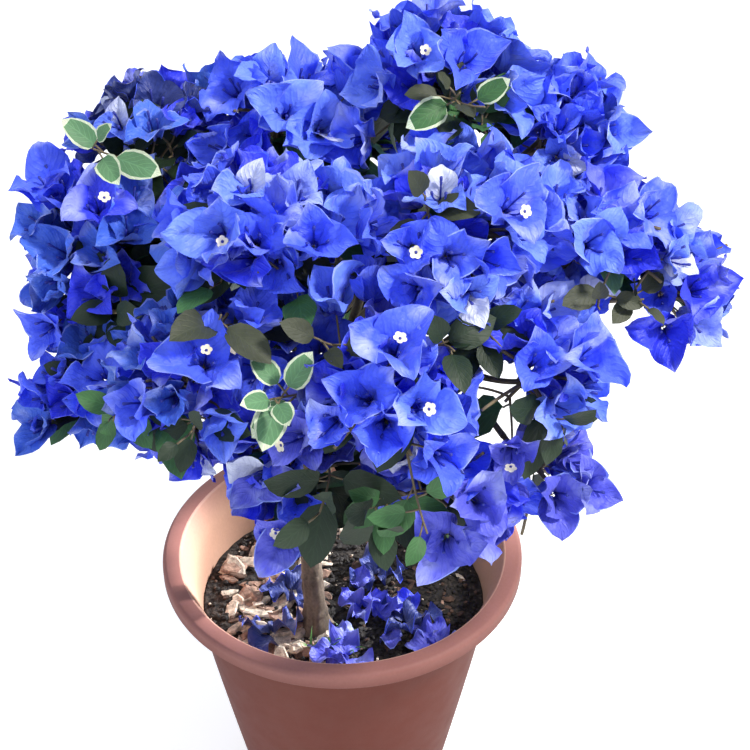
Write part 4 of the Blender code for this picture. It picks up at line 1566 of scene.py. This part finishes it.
def potFinish(name, colour):
    made, tree, sockets = newFinish(name, colour, 0.5)
    sockets["Specular IOR Level"].default_value = 0.2
    coordinates = tree.nodes.new("ShaderNodeTexCoord").outputs["Object"]
    cloud = noiseValue(tree, 9.0, 5.0, coordinates)
    colour = mixedColour(tree, scaled(tree, cloud, 0.5), colour, pot["scuff"])
    # paler towards the lip in patches: partly faded plastic, partly painted light on its top
    height = newNode(tree, "SeparateXYZ", Vector=coordinates).outputs[2]
    span = {"From Min": pot["fadedFrom"], "From Max": pot["fadedTo"], "To Max": pot["fadedMost"]}
    high = newNode(tree, "MapRange", Value=height, **span).outputs[0]
    bloom = scaled(tree, high, scaled(tree, cloud, 0.8, 0.4))
    colour = mixedColour(tree, bloom, colour, pot["faded"])
    fleck = scaled(tree, noiseValue(tree, 420.0, 2.0, coordinates), 0.16, 0.92)
    feed(tree, scaledColour(tree, colour, fleck), sockets["Base Color"])
    feed(tree, scaled(tree, noiseValue(tree, 60.0, 4.0, coordinates), 0.22, 0.44), sockets["Roughness"])
    addBump(tree, sockets, noiseValue(tree, 700.0, 2.0, coordinates), 0.12, 0.0004)
    return made


def makePot():
    profile, steps = potProfile(), pot["steps"]
    bag = newBag()
    faces = ringFaces(len(profile), steps)
    # faces from the lip's inner round down take the pale inside colour: painted light
    inner = len(faces) - (pot["rings"] + pot["insideArc"]) * steps
    points = [(x, y, z) for radius, z in profile for x, y in circle(radius, steps)]
    addPatch(bag, points, faces, [0 if i < inner else 1 for i in range(len(faces))])
    plastics = [potFinish("potPlastic", pot["colour"]), potFinish("potInsidePaintedLight", pot["inside"])]
    obj = makePiece("potBody", bag, plastics, ["pot"])
    # the floor's two sides close the shell, and the drains are cut through it
    shell = bmesh.new()
    shell.from_mesh(obj.data)
    shell.verts.ensure_lookup_table()
    shell.faces.new(shell.verts[:steps][::-1])
    shell.faces.new(shell.verts[-steps:])
    for face in shell.faces:
        face.smooth = True
    shell.to_mesh(obj.data)
    shell.free()
    for x, y in circle(pot["drainRing"], pot["drains"]):
        size = {"radius": pot["drainRadius"], "depth": 6 * pot["wall"]}
        bpy.ops.mesh.primitive_cylinder_add(vertices=24, location=(x, y, 0), **size)
        drill = bpy.context.active_object
        cut = obj.modifiers.new("drain", "BOOLEAN")
        cut.operation = "DIFFERENCE"
        cut.object = drill
        bpy.context.view_layer.update()
        graph = bpy.context.evaluated_depsgraph_get()
        mesh = bpy.data.meshes.new_from_object(obj.evaluated_get(graph))
        obj.modifiers.clear()
        obj.data = mesh
        bpy.data.objects.remove(drill)
    obj.data.set_sharp_from_angle(angle=math.radians(pot["sharp"]))


mix = {
    "top": 0.203,
    "walls": (0.15, 0.08, 0.0035),  # the heights of its rings down the wall
    "rings": 64,
    "steps": 150,
    "gap": 0.0006,  # between it and the wall
    "relief": 0.0030,
    "waves": ((28, 0, 0.7), (90, 5, 0.45), (260, 0, 0.22)),  # scale, shift and share of each
    "fall": (0.86, 0.02),  # where it starts to fall away to the wall, and by how much
    "dark": srgb(30, 27, 26),
    "light": srgb(84, 76, 70),
    "chips": 560,
    "chipGap": 0.004,
    "chipLift": 0.0012,
    "chipLength": (0.007, 0.031),
    "chipSeed": 7,
    # big pale chips on the left, and small dark ones on the right where some are left out
    # the split is partly the mulch itself, partly painted light on the sunlit left and painted shade on the
    # right
    "chipWeights": {True: (0.64, 0.22, 0.10, 0.04), False: (0.03, 0.10, 0.27, 0.60)},
    "rightSize": 0.45,
    "leftOut": 0.45,
    "chipTints": {
        "pale": srgb(248, 230, 208),
        "tan": srgb(186, 150, 130),
        "brown": srgb(104, 78, 64),
        "black": srgb(46, 42, 40),
    },
    "crumbs": 1400,
    "crumbSize": (0.0012, 0.0036),
    "crumbTints": {"black": 0.78, "brown": 0.12, "pale": 0.10},
}


def mixEdge(height, gap):
    return bodyRadius(pot["height"] - height) - pot["wall"] - gap


def mixHeight(x, y):
    spot = Vector((x, y, 0))
    waves = 0
    for scale, shift, share in mix["waves"]:
        waves += noise.noise(spot * scale + Vector((shift, 0, 0))) * share
    start, fall = mix["fall"]
    drop = max(0.0, math.hypot(x, y) / mixEdge(mix["top"], 0) - start) * fall
    return mix["top"] + mix["relief"] * waves - drop


def mixFinish():
    made, tree, sockets = newFinish("compost", mix["dark"], 0.95)
    lumps = noiseValue(tree, 260.0, 6.0)
    tone = atLeast(tree, scaled(tree, lumps, 3.4, -1.5))
    feed(tree, mixedColour(tree, tone, mix["dark"], mix["light"]), sockets["Base Color"])
    addBump(tree, sockets, lumps, 0.9, 0.003)
    return made


def chipFinish(tint):
    colour = mix["chipTints"][tint]
    dark = tuple(c * 0.34 for c in colour)
    return grainFinish("chip_" + tint, colour, 0.8, 0.7, Dark=dark, Light=colour, Scale=220.0)


def addChip(bag, place, length, rng, finish):
    # a split flake of bark: an uneven outline, thicker in the middle
    sides = rng.randint(6, 9)
    wide = length * rng.uniform(0.30, 0.60)
    thick = length * rng.uniform(0.10, 0.20)
    turn = Matrix.Rotation(rng.uniform(0, math.tau), 3, "Z")
    tip = Matrix.Rotation(rng.uniform(-0.45, 0.45), 3, "X")
    tip = tip @ Matrix.Rotation(rng.uniform(-0.35, 0.35), 3, "Y")
    points = []
    levels = ((-0.5, 0.86), (0.2, 1.0), (0.5, 0.80))
    for level, inset in levels:
        for k in range(sides):
            angle = math.tau * k / sides
            reach = inset * (1 + 0.22 * noise.noise(Vector((k * 1.7, length * 900, level * 0.3))))
            x, y = math.cos(angle) * length / 2 * reach, math.sin(angle) * wide / 2 * reach
            p = Vector((x, y, level * thick))
            p.z += 0.25 * thick * noise.noise(Vector((k * 2.3, length * 700, level)))
            points.append(place + turn @ (tip @ p))
    addPatch(bag, points, closedFaces(len(levels), sides), finish)


def addCrumb(bag, place, size, rng, finish):
    # two rings of five points, with a point under them and one over them
    points = [place + Vector((0, 0, -size * 0.6))]
    for level in (-0.25, 0.3):
        for k in range(5):
            angle = math.tau * k / 5 + level
            r = size * rng.uniform(0.7, 1.1) * 0.8
            points.append(place + Vector((r * math.cos(angle), r * math.sin(angle), level * size)))
    points.append(place + Vector((0, 0, size * 0.6)))
    faces = [(0, 1 + (k + 1) % 5, 1 + k) for k in range(5)] + ringFaces(2, 5, 1)
    faces += [(6 + k, 6 + (k + 1) % 5, 11) for k in range(5)]
    addPatch(bag, points, faces, finish)


def makeMix():
    bag = newBag()
    edge = mixEdge(mix["top"], mix["gap"])
    rings, steps = mix["rings"], mix["steps"]
    points = [(0, 0, mixHeight(0, 0))]
    for i in range(1, rings + 1):
        points += [(x, y, mixHeight(x, y)) for x, y in circle(edge * i / rings, steps)]
    for z in mix["walls"]:
        points += [(x, y, z) for x, y in circle(mixEdge(z, mix["gap"]), steps)]
    rings += len(mix["walls"])
    faces = [(0, 1 + k, 1 + (k + 1) % steps) for k in range(steps)]
    faces += [(a, d, c, b) for a, b, c, d in ringFaces(rings, steps, 1)]
    faces.append(tuple(1 + (rings - 1) * steps + k for k in range(steps))[::-1])
    addPatch(bag, points, faces, 0)
    makePiece("compost", bag, [mixFinish()], ["potting_mix"])


def spotWithin(edge, rng):
    r, turn = edge * math.sqrt(rng.random()), rng.uniform(0, math.tau)
    return r, r * math.cos(turn), r * math.sin(turn)


def makeChips():
    rng = random.Random(mix["chipSeed"])
    edge = mixEdge(mix["top"], mix["chipGap"])
    chips, crumbs = newBag(), newBag()
    for _ in range(mix["chips"]):
        r, x, y = spotWithin(edge, rng)
        left = x < -0.01 + 0.03 * noise.noise(Vector((x, y, 0)) * 20)
        length = rng.uniform(*mix["chipLength"]) * (1.0 if left else mix["rightSize"])
        if not left and rng.random() < mix["leftOut"]:
            continue
        tint = rng.choices(range(4), mix["chipWeights"][left])[0]
        if r + length / 2 <= edge:
            place = Vector((x, y, mixHeight(x, y) + mix["chipLift"]))
            addChip(chips, place, length, rng, tint)
    for _ in range(mix["crumbs"]):
        r, x, y = spotWithin(edge, rng)
        tint = rng.choices(range(3), mix["crumbTints"].values())[0]
        size = rng.uniform(*mix["crumbSize"]) * (0.45 if tint == 2 else 1)
        addCrumb(crumbs, Vector((x, y, mixHeight(x, y) + size * 0.3)), size, rng, tint)
    paints = [chipFinish(tint) for tint in mix["chipTints"]]
    makePiece("barkChips", chips, paints, [], smooth=False)
    paints = [chipFinish(tint) for tint in mix["crumbTints"]]
    makePiece("compostCrumbs", crumbs, paints, [], smooth=False)


fallen = {
    "places": (  # place, size of a bract, and turn in degrees
        (-0.057, -0.050, 0.020, 20),
        (-0.043, -0.003, 0.016, 60),
        (0.015, -0.022, 0.015, 140),
        (0.027, 0.015, 0.017, 100),
        (0.047, -0.040, 0.020, 250),
        (0.000, -0.077, 0.020, 75),
        (0.072, -0.067, 0.016, 190),
    ),
    "larger": 1.55,
    "strays": (  # single bracts beside them: place, length and turn
        (0.026, -0.034, 0.026, 30),
        (0.037, -0.018, 0.024, 200),
        (0.030, -0.052, 0.024, 300),
        (0.012, -0.003, 0.022, 80),
        (0.058, -0.028, 0.024, 130),
        (-0.016, -0.088, 0.022, 10),
        (0.052, -0.052, 0.022, 350),
    ),
    "seed": 5,
    # darker tints, partly painted shade under the crown
    "tints": ("deep", "violet", "navy", "violet"),
    "wild": 1.8,
    "wave": 1.5,
    "rootTilt": (50, 75),
    "flare": (60, 100),
    "curl": (-150, 10),
    "lift": 0.004,
}


def addDryBract(bag, x, y, turn, length, tint, rng):
    shape = bractShape(rng, fallen["wild"])
    shape.update({key: rng.uniform(*fallen[key]) for key in ("rootTilt", "flare", "curl")})
    shape["wave"] *= fallen["wave"]
    root = Vector((x, y, mixHeight(x, y) + fallen["lift"]))
    radial = Vector((math.cos(turn), math.sin(turn), 0))
    addBract(bag, root, up, radial, length, shape, tint, rng)


def makeFallen():
    bag = newBag()
    rng = random.Random(fallen["seed"])
    for x, y, length, turn in fallen["places"]:
        tint = rng.choice(fallen["tints"])
        for i in range(3):
            spin = math.radians(turn + 120 * i) + rng.uniform(-0.3, 0.3)
            addDryBract(bag, x, y, spin, length * fallen["larger"], tint, rng)
    for x, y, length, turn in fallen["strays"]:
        addDryBract(bag, x, y, math.radians(turn), length, rng.choice(fallen["tints"]), rng)
    nodes = [f"fallen_bracts_{i + 1}" for i in range(len(fallen["places"]))]
    makePiece("fallenBracts", bag, [bractFinish(tint) for tint in bractTints], nodes)


seedlings = {
    "places": ((-0.006, -0.062), (-0.012, -0.070), (0.002, -0.058), (-0.026, -0.066), (0.006, -0.068)),
    "seed": 21,
    "blades": 5,
    "length": (0.010, 0.024),
    "width": 0.0024,
    "colour": srgb(82, 132, 62),
}


def makeSeedlings():
    # a few slim green blades at the trunk's foot
    bag = newBag()
    rng = random.Random(seedlings["seed"])
    for x, y in seedlings["places"]:
        foot = Vector((x, y, mixHeight(x, y) - 0.001))
        for _ in range(seedlings["blades"]):
            length = rng.uniform(*seedlings["length"])
            turn = rng.uniform(0, math.tau)
            out = Vector((math.cos(turn), math.sin(turn), 0))
            side = Vector((-out.y, out.x, 0)) * seedlings["width"] / 2
            points = []
            for i in range(5):
                t = i / 4
                centre = foot + up * length * (t - 0.35 * t * t) + out * length * 0.6 * t * t
                points += [centre - side * (1 - t * t), centre + side * (1 - t * t) + up * 0.0002]
            faces = [(2 * i, 2 * i + 1, 2 * i + 3, 2 * i + 2) for i in range(4)]
            addPatch(bag, points, faces, 0)
    skin = softFinish("seedling", seedlings["colour"], 0.5, 90.0, 0.3)
    makePiece("seedlings", bag, [skin], [])


def main():
    makeCamera()
    makeStudio()
    masses = layOutMasses()
    limbs = layOutLimbs(masses)
    makeLimbs(limbs)
    makeCrown(list(masses.values()), limbs)
    makePot()
    makeMix()
    makeChips()
    makeFallen()
    makeSeedlings()


main()
